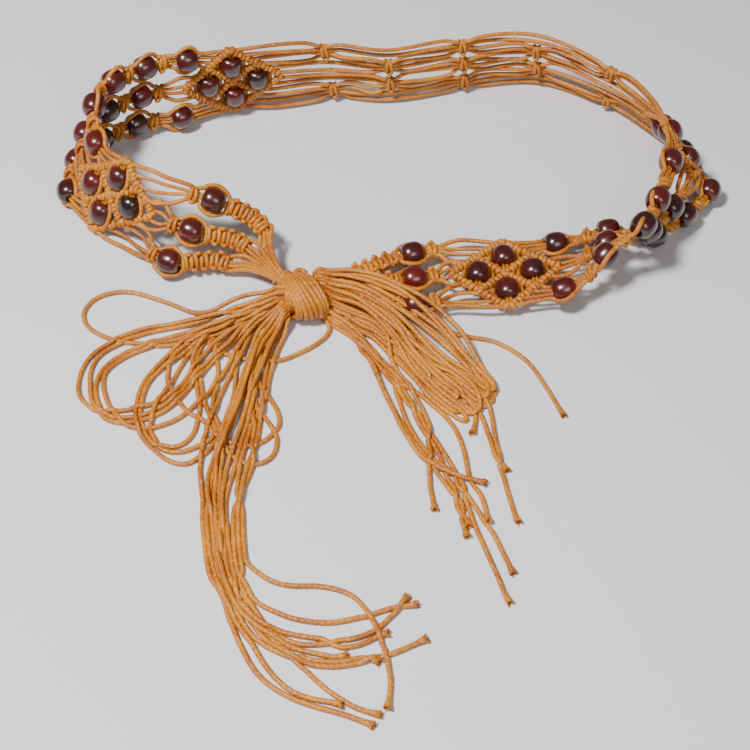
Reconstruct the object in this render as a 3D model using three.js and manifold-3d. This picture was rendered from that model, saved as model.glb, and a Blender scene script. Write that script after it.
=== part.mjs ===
// A macrame rope belt: twelve waxed cords knotted into a band with wooden beads, tied in front with a
// wrapped bow whose loops and tails lie on the surface. Millimetres, +Z up, resting on z = 0.
// The band is worked flat, in (u along, v up, w through) coordinates, and then stood up in its loop.
import * as THREE from 'three';
import { mergeVertices } from 'three/addons/utils/BufferGeometryUtils.js';
import Module from 'manifold-3d';

const LOOP_WIDTH = 340; // of the closed loop, left to right
const LOOP_DEPTH = 165; // of the closed loop, front to back
const BAND_HEIGHT = 46; // from edge cord to edge cord, where the band stands relaxed
const CORD = 2; // waxed cord
const CORDS = 12; // across the band
const PAIR = 3; // two cords side by side
const SINNET_WIDTH = 9.6; // a square-knot sinnet of four cords
const SINNET_THICK = 4.4;
const SINNET_LENGTH = 22;
const BAR = 3.8; // a bar of double half hitches
const LATTICE_HALF_LENGTH = 26;
const LATTICE_HALF_HEIGHT = 22;
const BEAD_DIAMETER = 12;
const BEAD_LENGTH = 11;
const BEAD_BORE = 4.2;
const CORE = 1.8; // the cords that run through a bead's bore
const SQUARE_KNOT_WIDTH = 6.4;
const SQUARE_KNOT_LENGTH = 5;
const ROW_SPACING = 16.4; // between neighbouring rows of a chain of beads
const GAP = 0.3; // between neighbouring pieces

const WRAP_LENGTH = 19; // the wrapped knot, along the cords that it holds
const WRAP_WIDTH = 27;
const WRAP_HEIGHT = 20;
const WRAP_TURNS = 8;
const WRAP_TURN_DEPTH = 1; // how deep the groove between two turns is
const WRAP_SINK = 1.6; // how far the knot's underside is pressed flat
const WRAP_ANGLE = 12; // degrees, of the knot's axis from the X axis
const WRAP_CENTRE = new THREE.Vector3(-34, 40, 0);

const LOCK = 5.6; // a lock of cords of the bow or the tails
const THIN_LOCK = 3.6; // a lock of one or two cords
const LOCK_STEP = 14; // between two rings of faces, here and below
const NET_STEP = 22;
const FRAME_STEP = 4.6;
const CORD_SIDES = 5;
const LOCK_SIDES = 5;
const BEAD_SIDES = 10;

const CORD_COLOUR = 0xc2832f;
const BEAD_COLOUR = 0x4a1512;

// Stations round the loop, from the knot by the left, the back and the right to the knot again. The
// lower and the upper edge of the band: x as a share of LOOP_WIDTH from the middle of the loop,
// y as a share of LOOP_DEPTH from the front, z as a share of BAND_HEIGHT.
const STATIONS = [
  // name             lower x, y, z              upper x, y, z
  ['knot left', [-0.138, 0.036, 0.2], [-0.135, 0.066, 0.3]],
  ['sinnet left', [-0.241, 0.147, 0.09], [-0.165, 0.272, 0.4]],
  ['beads left', [-0.314, 0.127, 0.1], [-0.227, 0.311, 0.68]],
  ['fan left', [-0.38, 0.266, 0.03], [-0.314, 0.319, 0.86]],
  ['lattice front left', [-0.424, 0.325, 0.03], [-0.356, 0.376, 0.87]],
  ['left end', [-0.475, 0.455, 0.04], [-0.402, 0.494, 0.87]],
  ['chain left', [-0.459, 0.637, 0.03], [-0.41, 0.672, 1.04]],
  ['chain left back', [-0.384, 0.764, 0.03], [-0.348, 0.783, 1.08]],
  ['chain left far', [-0.324, 0.788, 0.03], [-0.297, 0.815, 1.08]],
  ['lattice back left', [-0.234, 0.884, 0.03], [-0.232, 0.845, 1.01]],
  ['back 0', [-0.168, 0.904, 0.03], [-0.163, 0.878, 0.99]],
  ['back 1', [-0.077, 0.945, 0.03], [-0.095, 0.915, 0.91]],
  ['back 2', [0.012, 0.935, 0.03], [0.004, 0.9, 0.85]],
  ['back 3', [0.129, 0.992, 0.03], [0.118, 0.958, 0.85]],
  ['back 4', [0.247, 1.018, 0.03], [0.232, 0.976, 0.84]],
  ['back 5', [0.351, 0.9, 0.03], [0.341, 0.822, 0.82]],
  ['corner right', [0.418, 0.75, 0.03], [0.387, 0.664, 0.85]],
  ['lattice back right', [0.462, 0.625, 0.04], [0.4, 0.558, 0.84]],
  ['right end', [0.491, 0.478, 0.07], [0.394, 0.44, 0.8]],
  ['chain right', [0.445, 0.372, 0.07], [0.366, 0.247, 0.8]],
  ['chain right mid', [0.382, 0.281, 0.07], [0.338, 0.11, 0.83]],
  ['chain right near', [0.329, 0.323, 0.1], [0.3, 0.068, 0.56]],
  ['chain right far', [0.256, 0.284, 0.12], [0.256, -0.006, 0.28]],
  ['lattice front right', [0.165, 0.249, 0.15], [0.168, -0.024, 0.15]],
  ['fan right', [0.096, 0.252, 0.15], [0.094, -0.027, 0.15]],
  ['beads right', [0.037, 0.23, 0.16], [0.042, -0.06, 0.2]],
  ['sinnet right', [-0.038, 0.135, 0.16], [-0.035, 0.0, 0.2]],
  ['knot right', [-0.08, 0.085, 0.12], [-0.077, 0.045, 0.17]],
];
const LOOP_MIDDLE_X = 5;
const LOOP_FRONT_Y = 38;

// Locks of the bow and of the tails, each one free run of cords lying on the surface: points by hand.
const BOW_LEFT = [
  [[-44, 40, 9], [-62, 37, 12], [-86, 29, 10], [-106, 16, 5], [-125, 4, 3], [-130, -9, 3], [-121, -20, 3],
    [-106, -19, 4], [-86, -8, 6], [-66, 13, 8], [-52, 28, 8], [-44, 37, 7]],
  [[-44, 41, 8], [-64, 33, 9], [-88, 36, 3], [-110, 40, 2], [-129, 34, 2], [-133, 25, 2], [-123, 16, 2],
    [-103, 12, 7], [-82, 19, 10], [-62, 30, 10], [-44, 38, 8]],
  [[-44, 38, 7], [-62, 19, 9], [-82, 1, 9], [-103, -14, 4], [-106, -27, 3], [-98, -38, 3], [-86, -42, 3],
    [-74, -39, 3], [-66, -26, 4], [-61, 0, 8], [-53, 22, 10], [-43, 36, 8]],
];
const TAILS_LEFT = [
  [[-42, 37, 9], [-46, 22, 12], [-54, -2, 8], [-61, -30, 4], [-66, -62, 3], [-67, -85, 3], [-57, -98, 3],
    [-37, -105, 3], [-16, -106, 3], [-5, -113, 3], [1, -124, 3], [6, -145, 3], [5, -158, 2]],
  [[-42, 36, 8], [-50, 14, 9], [-60, -14, 5], [-68, -46, 3], [-70, -80, 3], [-61, -104, 3], [-44, -118, 3],
    [-22, -126, 3], [-7, -125, 3], [5, -121, 3], [15, -116, 2]],
  [[-43, 36, 7], [-54, 8, 7], [-66, -22, 4], [-74, -56, 3], [-74, -88, 3], [-64, -116, 3], [-44, -131, 3],
    [-20, -133, 3], [0, -132, 3], [17, -130, 2]],
  [[-43, 35, 7], [-56, 4, 7], [-69, -28, 4], [-77, -62, 3], [-77, -94, 3], [-66, -124, 3], [-51, -144, 3],
    [-36, -156, 3], [-18, -162, 3], [-2, -167, 2]],
];
const BOW_RIGHT = [
  [[-23, 42, 15], [-12, 47, 21], [4, 46, 25], [22, 36, 24], [38, 20, 21], [48, 4, 16], [53, -11, 9],
    [51, -25, 4], [54, -48, 3], [59, -68, 3], [61, -84, 2]],
  [[-23, 38, 14], [-10, 41, 19], [6, 34, 20], [22, 20, 19], [36, 4, 15], [45, -12, 9], [48, -28, 5],
    [51, -50, 3], [54, -70, 3], [59, -104, 2]],
  [[-23, 34, 12], [-10, 34, 16], [4, 25, 16], [16, 10, 15], [28, -8, 10], [36, -30, 5], [40, -52, 3],
    [48, -82, 3], [57, -114, 2]],
  [[-23, 32, 10], [-12, 30, 13], [-2, 18, 12], [6, -2, 9], [14, -22, 5], [20, -44, 3], [26, -66, 2]],
];
const LOOSE_RIGHT = [
  [[-23, 43, 14], [-8, 50, 20], [10, 45, 22], [28, 30, 19], [44, 15, 13], [58, 11, 7], [70, 1, 2.4],
    [78, -13, 2], [82, -24, 2]],
];

const manifold = await Module();
manifold.setup();

// A closed three.js geometry as a solid that can be joined and cut.
function solid(geometry) {
  const bare = geometry.index ? geometry.toNonIndexed() : geometry.clone();
  bare.deleteAttribute('normal');
  bare.deleteAttribute('uv');
  const merged = mergeVertices(bare, 1e-4);
  return new manifold.Manifold(new manifold.Mesh({
    numProp: 3,
    vertProperties: new Float32Array(merged.attributes.position.array),
    triVerts: new Uint32Array(merged.index.array),
  }));
}

function join(solids) {
  return solids.reduce((whole, next) => whole.add(next));
}

function geometryOf(shape) {
  const mesh = shape.getMesh();
  const geometry = new THREE.BufferGeometry();
  geometry.setAttribute('position', new THREE.BufferAttribute(new Float32Array(mesh.vertProperties), 3));
  geometry.setIndex(new THREE.BufferAttribute(new Uint32Array(mesh.triVerts), 1));
  return geometry;
}

const toVectors = (points) => points.map(([x, y]) => new THREE.Vector2(x, y));

function ring(diameter, sides) {
  const corners = [];
  for (let side = 0; side < sides; side++) {
    const turn = (2 * Math.PI * side) / sides;
    corners.push([(diameter / 2) * Math.cos(turn), (diameter / 2) * Math.sin(turn)]);
  }
  return new THREE.Shape(toVectors(corners));
}

// A flat pierced plate, centred on the band's own surface.
function plate(outline, holes, thickness) {
  const shape = new THREE.Shape(toVectors(outline));
  shape.holes = holes.map((hole) => new THREE.Path(toVectors(hole)));
  const slab = new THREE.ExtrudeGeometry(shape, { depth: thickness, bevelEnabled: false });
  slab.translate(0, 0, -thickness / 2);
  return solid(slab);
}

// A plate made in strips across the belt, none wider than `span`, so that it bends evenly with the band.
function inStrips(makePlate, fromU, toU, span) {
  const strips = [];
  const count = Math.ceil((toU - fromU) / span);
  const width = (toU - fromU) / count;
  for (let i = 0; i < count; i++) {
    const slab = new THREE.BoxGeometry(width, 2 * BAND_HEIGHT, 2 * BAND_HEIGHT);
    slab.translate(fromU + (i + 0.5) * width, 0, 0);
    strips.push(makePlate().intersect(solid(slab)));
  }
  return join(strips);
}

// A round cord through points, one ring of faces each `step` millimetres.
function cord(points, diameter, step, sides = CORD_SIDES) {
  const path = new THREE.CatmullRomCurve3(points.map((p) => new THREE.Vector3(...p)));
  const steps = Math.max(1, Math.round(path.getLength() / step));
  const tube = new THREE.ExtrudeGeometry(ring(diameter, sides), { extrudePath: path, steps });
  return solid(tube);
}

// The loop: both edges run through the stations, and u is measured along the line between them.
const place = ([x, y, z]) => new THREE.Vector3(
  LOOP_MIDDLE_X + x * LOOP_WIDTH,
  LOOP_FRONT_Y + y * LOOP_DEPTH,
  z * BAND_HEIGHT,
);
const lowerEdge = new THREE.CatmullRomCurve3(STATIONS.map((s) => place(s[1])), false, 'catmullrom', 0.5);
const upperEdge = new THREE.CatmullRomCurve3(STATIONS.map((s) => place(s[2])), false, 'catmullrom', 0.5);
const LOOP_SAMPLES = 540;
const loopLengths = [0];
let lastMiddle = lowerEdge.getPoint(0).lerp(upperEdge.getPoint(0), 0.5);
for (let i = 1; i <= LOOP_SAMPLES; i++) {
  const t = i / LOOP_SAMPLES;
  const middle = lowerEdge.getPoint(t).lerp(upperEdge.getPoint(t), 0.5);
  loopLengths.push(loopLengths[i - 1] + middle.distanceTo(lastMiddle));
  lastMiddle = middle;
}

function edgeTime(u) {
  const last = loopLengths.length - 1;
  const wanted = THREE.MathUtils.clamp(u, 0, loopLengths[last]);
  let i = 1;
  while (i < last && loopLengths[i] < wanted) i++;
  const share = (wanted - loopLengths[i - 1]) / (loopLengths[i] - loopLengths[i - 1]);
  return (i - 1 + share) / last;
}

function onBand(u, v) {
  const t = edgeTime(u);
  return lowerEdge.getPoint(t).lerp(upperEdge.getPoint(t), v / BAND_HEIGHT + 0.5);
}

// The band's own directions at a place: along the belt, up across it, and through it towards the wearer.
function bandFrame(u, v) {
  const reach = 1;
  const along = onBand(u + reach, v).sub(onBand(u - reach, v)).normalize();
  const up = onBand(u, v + reach).sub(onBand(u, v - reach));
  const inward = along.clone().cross(up).normalize();
  return { point: onBand(u, v), along, up: inward.clone().cross(along), inward };
}

function bend(shape) {
  const geometry = geometryOf(shape);
  const at = geometry.attributes.position;
  for (let i = 0; i < at.count; i++) {
    const frame = bandFrame(at.getX(i), at.getY(i));
    frame.point.addScaledVector(frame.inward, at.getZ(i));
    at.setXYZ(i, frame.point.x, frame.point.y, frame.point.z);
  }
  return solid(geometry);
}

function stationU(name) {
  const index = STATIONS.findIndex((s) => s[0] === name);
  return loopLengths[Math.round((index / (STATIONS.length - 1)) * LOOP_SAMPLES)];
}

// A square knot seen from outside: a short six-sided stub along the belt.
function squareKnot(u, v, width = SQUARE_KNOT_WIDTH) {
  const stub = new THREE.CylinderGeometry(width / 2, width / 2, SQUARE_KNOT_LENGTH, 6);
  stub.rotateZ(Math.PI / 2);
  stub.scale(1, 1, 0.8);
  stub.translate(u, v, 0);
  return solid(stub);
}

const BEAD_BARREL = 0.36; // where the bead's widest stretch ends, as a share of its half length
const BEAD_SHOULDER = 0.62; // the bead's end face, as a share of its radius
function beadProfile(bore, grow = 0) {
  const radius = BEAD_DIAMETER / 2 + grow;
  const half = BEAD_LENGTH / 2 + grow;
  return [
    [bore, -half],
    [radius * BEAD_SHOULDER, -half],
    [radius, -half * BEAD_BARREL],
    [radius, half * BEAD_BARREL],
    [radius * BEAD_SHOULDER, half],
    [bore, half],
  ].map(([x, y]) => new THREE.Vector2(x, y));
}

function drilledBead(grow = 0) {
  const profile = beadProfile(BEAD_BORE / 2 - grow, grow);
  return new THREE.LatheGeometry([...profile, profile[0]], BEAD_SIDES);
}

// Where a bead sits: its hole runs along the belt, or across it in a lattice.
function beadSeat(u, v, across) {
  const { point, along, up, inward } = bandFrame(u, v);
  const axis = across ? up : along;
  const side = across ? along : up.clone().negate();
  return new THREE.Matrix4().makeBasis(side, axis, inward).setPosition(point);
}

// Room for the beads in a bent piece, a gap wider than they are.
function clearOfBeads(shape, seats) {
  return seats.reduce((rest, [u, v, across]) => {
    const room = new THREE.LatheGeometry(beadProfile(0, GAP), BEAD_SIDES);
    return rest.subtract(solid(room.applyMatrix4(beadSeat(u, v, across))));
  }, shape);
}

// A row of beads and square knots on their cords, turned as one string about the row's own line.
function beadString(fromU, toU, v, beadsU, knotsU) {
  const stops = [
    ...beadsU.map((u) => [u, beadProfile(CORD).slice(1, 5)]),
    ...knotsU.map((u) => [u, [-0.5, 0.5].map((end) => (
      new THREE.Vector2(SQUARE_KNOT_WIDTH / 2, end * SQUARE_KNOT_LENGTH)))]),
  ].sort((one, other) => one[0] - other[0]);
  const profile = [new THREE.Vector2(0, fromU), new THREE.Vector2(CORD, fromU)];
  for (const [u, points] of stops) {
    for (const point of points) profile.push(new THREE.Vector2(point.x, u + point.y));
  }
  profile.push(new THREE.Vector2(CORD, toU), new THREE.Vector2(0, toU));
  const string = new THREE.LatheGeometry(profile, BEAD_SIDES);
  string.rotateZ(-Math.PI / 2);
  string.translate(0, v, 0);
  return solid(string);
}

const ROWS = [-1, 0, 1];
const FRAME_OFFSET = BEAD_DIAMETER / 2 + 3 * GAP + CORD / 2;
// The two outer cords of a sinnet as they part round a bead and meet again.
function frameCords(u, v) {
  const reach = BEAD_LENGTH / 2 + SQUARE_KNOT_LENGTH / 2;
  const side = (sign) => cord([
    [-reach, sign * CORD, 0],
    [-reach * 0.5, sign * FRAME_OFFSET * 0.9, 0],
    [0, sign * FRAME_OFFSET, 0],
    [reach * 0.5, sign * FRAME_OFFSET * 0.9, 0],
    [reach, sign * CORD, 0],
  ], CORD, FRAME_STEP);
  const { point, along, up, inward } = bandFrame(u, v);
  const seat = new THREE.Matrix4().makeBasis(along, up, inward).setPosition(point);
  return [side(1), side(-1)].map((shape) => solid(geometryOf(shape).applyMatrix4(seat)));
}

// The cord through a bead's hole, from the knot or bar on one side of it to the one on the other.
function coreCord([u, v, across], length) {
  const core = new THREE.CylinderGeometry(CORE / 2, CORE / 2, length, CORD_SIDES);
  return solid(core.applyMatrix4(beadSeat(u, v, across)));
}

const latticeSlope = LATTICE_HALF_LENGTH / LATTICE_HALF_HEIGHT;
const barReach = (BAR / 2 + GAP) * Math.hypot(1, latticeSlope);
// How far from a lattice's middle a cord of a radius stops at height v, clear of the lattice's bar.
function latticeSide(v, radius = 0) {
  const share = THREE.MathUtils.clamp((Math.abs(v) - radius) / LATTICE_HALF_HEIGHT, 0, 1);
  return LATTICE_HALF_LENGTH * (1 - share) + barReach;
}

// A rhombus about a place, each side in a few steps so that it can follow the bend of the band.
function rhombus(u, v, halfLength, halfHeight, steps) {
  const corners = [[halfLength, 0], [0, halfHeight], [-halfLength, 0], [0, -halfHeight]];
  return corners.flatMap((from, i) => {
    const to = corners[(i + 1) % corners.length];
    return Array.from({ length: steps }, (unused, step) => [
      u + from[0] + ((to[0] - from[0]) * step) / steps,
      v + from[1] + ((to[1] - from[1]) * step) / steps,
    ]);
  });
}

// Bars of hitches round a rhombus and crossing in its middle, and the cords through the beads' holes.
function latticeBars(middle) {
  const a = LATTICE_HALF_LENGTH;
  const b = LATTICE_HALF_HEIGHT;
  const lengthInset = ((BAR / 2) * Math.hypot(a, b)) / b;
  const heightInset = ((BAR / 2) * Math.hypot(a, b)) / a;
  const cells = [[0, -b / 2], [0, b / 2], [-a / 2, 0], [a / 2, 0]].map(([u, v]) => (
    rhombus(middle + u, v, a / 2 - lengthInset, b / 2 - heightInset, 1)));
  return plate(rhombus(middle, 0, a + lengthInset, b + heightInset, 3), cells, BAR);
}

// Three strings of beads between two lattices: five beads above and below, three along the middle.
// The strings hang together by the outer cords, which pass from row to row.
const CHAIN_END_SHARE = 1.2; // the first and last pitch, as a share of the pitch between
function chain(fromMiddle, toMiddle) {
  const start = fromMiddle + LATTICE_HALF_LENGTH;
  const end = toMiddle - LATTICE_HALF_LENGTH;
  const pitch = (end - start) / (2 + 2 * CHAIN_END_SHARE);
  const centre = (start + end) / 2;
  const columns = [centre - pitch, centre, centre + pitch];
  const knots = [-1.5, -0.5, 0.5, 1.5].map((step) => centre + step * pitch);
  const shapes = ROWS.map((row) => {
    const v = row * ROW_SPACING;
    const beads = row === 0 ? columns : [start, ...columns, end];
    const reach = latticeSide(v, CORD);
    return beadString(fromMiddle + reach, toMiddle - reach, v, beads, knots);
  });
  for (const row of [-1, 1]) {
    const v = row * ROW_SPACING;
    const edgeV = row * (BAND_HEIGHT / 2 - CORD / 2);
    const ends = [[fromMiddle, start, knots[0], 1], [toMiddle, end, knots[3], -1]];
    for (const [middle, bead, knot, side] of ends) {
      shapes.push(cord([
        [middle + side * latticeSide(edgeV, CORD), edgeV, 0],
        [bead, v + row * FRAME_OFFSET, 0],
        [knot, v, 0],
      ], CORD, NET_STEP / 2));
      shapes.push(cord([
        [middle + side * latticeSide(0), 0, 0],
        [(bead + knot) / 2, v * 0.35, 0],
        [knot, v, 0],
      ], CORD, NET_STEP / 2));
    }
  }
  return join(shapes);
}

// Three sinnets with a bead each, and the cords that fan out from them in pairs to a lattice.
// `side` is 1 where the lattice lies further on along the belt, and -1 at the belt's other end.
const GATHER_AT = 7; // from the band's end, where the cords are gathered into one bundle
function sinnets(knotEnd, beadU, latticeMiddle, side) {
  const shapes = [];
  const knotU = beadU + side * (BEAD_LENGTH / 2 + SQUARE_KNOT_LENGTH / 2 + 2 * GAP);
  for (const row of ROWS) {
    const v = row * ROW_SPACING;
    const near = beadU - side * (BEAD_LENGTH / 2 + 2 * GAP);
    const far = near - side * SINNET_LENGTH;
    const strip = new THREE.BoxGeometry(SINNET_LENGTH, SINNET_WIDTH, SINNET_THICK, 4, 1, 1);
    strip.translate((near + far) / 2, v, 0);
    shapes.push(solid(strip), squareKnot(knotU, v));
    const loose = [[far + side, v, 0], [(far + knotEnd) / 2, v, 0], [knotEnd, v, 0]];
    shapes.push(cord(loose, SINNET_THICK, NET_STEP / 2));
  }
  for (const row of ROWS) {
    for (const half of [-1, 1]) {
      const startV = row * ROW_SPACING + half * CORD * 0.7;
      const endV = (row + half / 4) * (BAND_HEIGHT - PAIR) / 2.5;
      const endU = latticeMiddle - side * latticeSide(endV, PAIR / 2);
      const parting = [(knotU * 2 + endU) / 3, startV * 0.7 + endV * 0.3, 0];
      const path = [[knotU, startV, 0], parting, [endU - side * PAIR, endV, 0], [endU, endV, 0]];
      shapes.push(cord(path, PAIR, NET_STEP / 2));
    }
  }
  const gather = knotEnd + side * GATHER_AT;
  const across = [-1, 0, 1].map((share) => [gather, (share * BAND_HEIGHT) / 2, 0]);
  shapes.push(cord(across, 2 * CORD, 12));
  return join(shapes);
}

// Twelve cords from lattice to lattice round the back, held by square knots in alternating groups:
// one net, cut through between each cord and the next.
const KNOT_GROUPS = [
  [[0, 3], [8, 11]],
  [[2, 5], [6, 9]],
  [[0, 3], [4, 7], [8, 11]],
  [[2, 5], [6, 9]],
  [[0, 3], [8, 11]],
];
const KNOT_PINCH = 0.55; // how close a knot draws its cords
const NET_HEM = 3; // where the net meets a lattice, left whole
const NET_SPAN = 14; // widest strip that the net bends in
function backNet(fromMiddle, toMiddle) {
  const columns = KNOT_GROUPS.map((groups, i) => stationU(`back ${i + 1}`));
  const restV = (i) => (-0.5 + (i + 0.5) / CORDS) * BAND_HEIGHT;
  const groupOf = (i, column) => KNOT_GROUPS[column].find(([low, high]) => i >= low && i <= high);
  const cordV = (i, column) => {
    const group = groupOf(i, column);
    if (!group) return restV(i);
    const middleV = (restV(group[0]) + restV(group[1])) / 2;
    return middleV + (restV(i) - middleV) * KNOT_PINCH;
  };
  // The run of one side of a cord, between two places: through each knot column and halfway between.
  const run = (i, fromU, toU, offset) => {
    const points = [];
    columns.forEach((u, column) => {
      const before = column === 0 ? fromMiddle + LATTICE_HALF_LENGTH : columns[column - 1];
      points.push([(before + u) / 2, restV(i) + offset], [u, cordV(i, column) + offset]);
    });
    points.push([(columns[columns.length - 1] + toMiddle - LATTICE_HALF_LENGTH) / 2, restV(i) + offset]);
    return points.filter(([u]) => u > fromU + CORD && u < toU - CORD);
  };
  const endU = (v, side) => (side > 0 ? fromMiddle : toMiddle) + side * latticeSide(v);
  const top = restV(CORDS - 1);
  const outline = [
    [endU(0, 1), 0],
    [endU(top, 1), -top - CORD / 2],
    ...run(0, endU(top, 1), endU(top, -1), -CORD / 2),
    [endU(top, -1), -top - CORD / 2],
    [endU(0, -1), 0],
    [endU(top, -1), top + CORD / 2],
    ...run(CORDS - 1, endU(top, 1), endU(top, -1), CORD / 2).reverse(),
    [endU(top, 1), top + CORD / 2],
  ];
  const gaps = [];
  for (let i = 0; i < CORDS - 1; i++) {
    const gapV = (restV(i) + restV(i + 1)) / 2;
    const stops = [endU(gapV, 1) + NET_HEM];
    columns.forEach((u, column) => {
      const group = groupOf(i, column);
      if (group && i + 1 <= group[1]) stops.push(u - SQUARE_KNOT_LENGTH / 2, u + SQUARE_KNOT_LENGTH / 2);
    });
    stops.push(endU(gapV, -1) - NET_HEM);
    for (let stop = 0; stop < stops.length; stop += 2) {
      const [fromU, toU] = [stops[stop], stops[stop + 1]];
      const upper = run(i + 1, fromU, toU, -CORD / 2).reverse();
      gaps.push([[fromU, gapV], ...run(i, fromU, toU, CORD / 2), [toU, gapV], ...upper]);
    }
  }
  const ends = outline.map(([u]) => u);
  const [firstU, lastU] = [Math.min(...ends), Math.max(...ends)];
  const shapes = [inStrips(() => plate(outline, gaps, CORD), firstU, lastU, NET_SPAN)];
  columns.forEach((u, column) => {
    for (const [low, high] of KNOT_GROUPS[column]) {
      const width = (restV(high) - restV(low)) * KNOT_PINCH + CORD;
      shapes.push(squareKnot(u, (restV(low) + restV(high)) / 2, width));
    }
  });
  return join(shapes);
}

const FLOOR_REACH = 2 * LOOP_WIDTH;
const aboveFloorBox = new THREE.BoxGeometry(FLOOR_REACH, FLOOR_REACH, FLOOR_REACH);
aboveFloorBox.translate(0, 0, FLOOR_REACH / 2);
const aboveFloor = (shape) => shape.intersect(solid(aboveFloorBox));

function wrappedKnot(grow = 0) {
  const profile = [new THREE.Vector2(0, -WRAP_LENGTH / 2 - grow)];
  const turn = WRAP_LENGTH / WRAP_TURNS;
  const crest = WRAP_WIDTH / 2 + grow;
  for (let i = 0; i < WRAP_TURNS; i++) {
    const start = -WRAP_LENGTH / 2 + i * turn;
    const edge = i === 0 ? start - grow : start;
    profile.push(new THREE.Vector2(crest - WRAP_TURN_DEPTH, edge));
    profile.push(new THREE.Vector2(crest, start + turn / 2));
  }
  profile.push(new THREE.Vector2(crest - WRAP_TURN_DEPTH, WRAP_LENGTH / 2 + grow));
  profile.push(new THREE.Vector2(0, WRAP_LENGTH / 2 + grow));
  const body = new THREE.LatheGeometry(profile, 12);
  body.rotateZ(Math.PI / 2);
  body.scale(1, 1, WRAP_HEIGHT / WRAP_WIDTH);
  body.rotateZ(THREE.MathUtils.degToRad(WRAP_ANGLE));
  body.translate(WRAP_CENTRE.x, WRAP_CENTRE.y, WRAP_HEIGHT / 2 - WRAP_SINK);
  return solid(body);
}

function locks(thick, thin) {
  const shapes = thick.map((points) => cord(points, LOCK, LOCK_STEP, LOCK_SIDES));
  for (const points of thin) shapes.push(cord(points, THIN_LOCK, LOCK_STEP, LOCK_SIDES));
  return join(shapes);
}

const belt = new THREE.Group();
function addMesh(name, geometry, colour, roughness) {
  const material = new THREE.MeshStandardMaterial({ color: colour, roughness, metalness: 0 });
  const mesh = new THREE.Mesh(geometry, material);
  mesh.name = name;
  belt.add(mesh);
  return mesh;
}
const addCords = (name, shape) => addMesh(name, geometryOf(aboveFloor(shape)), CORD_COLOUR, 0.75);

const beadGeometry = drilledBead();
function addBead(name, u, v, across) {
  const mesh = addMesh(name, beadGeometry, BEAD_COLOUR, 0.2);
  beadSeat(u, v, across).decompose(mesh.position, mesh.quaternion, mesh.scale);
}

const LATTICES = {
  front_left: stationU('lattice front left'),
  back_left: stationU('lattice back left'),
  back_right: stationU('lattice back right'),
  front_right: stationU('lattice front right'),
};
const knotHole = wrappedKnot(GAP);
const clearOfKnot = (shape) => shape.subtract(knotHole);

function addSinnets(side, knotEnd, latticeMiddle, direction) {
  const beadU = stationU(`beads ${side}`);
  const seats = ROWS.map((row) => [beadU, row * ROW_SPACING, false]);
  const cords = clearOfBeads(bend(sinnets(knotEnd, beadU, latticeMiddle, direction)), seats);
  const cores = seats.map((seat) => coreCord(seat, BEAD_LENGTH + 2 * SQUARE_KNOT_LENGTH));
  const framed = join([cords, ...cores, ...seats.flatMap(([u, v]) => frameCords(u, v))]);
  addCords(`sinnets_${side}`, clearOfKnot(framed));
  seats.forEach(([u, v, across], i) => addBead(`bead_sinnet_${side}_${i + 1}`, u, v, across));
}
addSinnets('left', 0, LATTICES.front_left, 1);
addSinnets('right', loopLengths[LOOP_SAMPLES], LATTICES.front_right, -1);
addCords('chain_left', bend(chain(LATTICES.front_left, LATTICES.back_left)));
addCords('chain_right', bend(chain(LATTICES.back_right, LATTICES.front_right)));
addCords('back_net', bend(backNet(LATTICES.back_left, LATTICES.back_right)));
for (const [name, middle] of Object.entries(LATTICES)) {
  const seats = {
    low: [middle, -LATTICE_HALF_HEIGHT / 2, true],
    high: [middle, LATTICE_HALF_HEIGHT / 2, true],
    before: [middle - LATTICE_HALF_LENGTH / 2, 0, true],
    after: [middle + LATTICE_HALF_LENGTH / 2, 0, true],
  };
  const bars = clearOfBeads(bend(latticeBars(middle)), Object.values(seats));
  const cores = Object.values(seats).map((seat) => coreCord(seat, LATTICE_HALF_HEIGHT - BAR / 2));
  addCords(`lattice_${name}`, join([bars, ...cores]));
  for (const [cell, seat] of Object.entries(seats)) addBead(`bead_${name}_${cell}`, ...seat);
}
addCords('wrapped_knot', wrappedKnot());
addCords('bow_and_tails_left', clearOfKnot(locks([...BOW_LEFT, ...TAILS_LEFT], [])));
addCords('bow_and_tails_right', clearOfKnot(locks(BOW_RIGHT, LOOSE_RIGHT)));

belt.updateMatrixWorld(true);
const box = new THREE.Box3().setFromObject(belt, true);
belt.position.set(-(box.min.x + box.max.x) / 2, -(box.min.y + box.max.y) / 2, -box.min.z);

export default belt;
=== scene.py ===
# A knotted belt of waxed cord and lacquered wooden beads, lying in its loop with the bow towards the viewer.
import math
import random

import bpy
import numpy as np
from mathutils import Matrix, Vector, kdtree


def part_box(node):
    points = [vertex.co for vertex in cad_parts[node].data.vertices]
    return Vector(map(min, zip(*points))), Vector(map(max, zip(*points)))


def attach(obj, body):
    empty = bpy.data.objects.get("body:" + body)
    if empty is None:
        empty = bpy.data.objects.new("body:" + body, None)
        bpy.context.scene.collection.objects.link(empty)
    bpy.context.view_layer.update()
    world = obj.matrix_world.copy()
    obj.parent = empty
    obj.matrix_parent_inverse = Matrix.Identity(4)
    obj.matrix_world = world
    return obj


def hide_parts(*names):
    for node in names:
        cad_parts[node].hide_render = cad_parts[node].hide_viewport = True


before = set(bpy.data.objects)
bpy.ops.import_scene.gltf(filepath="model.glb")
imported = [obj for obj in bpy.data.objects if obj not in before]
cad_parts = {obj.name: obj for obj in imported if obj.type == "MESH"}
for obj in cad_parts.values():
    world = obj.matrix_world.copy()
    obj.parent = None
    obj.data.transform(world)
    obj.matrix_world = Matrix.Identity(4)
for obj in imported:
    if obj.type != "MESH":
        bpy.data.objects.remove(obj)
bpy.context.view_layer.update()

# The belt lies in the row frame in metres. The routes below are in millimetres from the point of the
# table that the camera looks at; the wrapped knot's middle shows where that point is.
KNOT_MIDDLE = (-34.0, 40.0)
knot_low, knot_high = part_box("wrapped_knot")
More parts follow.
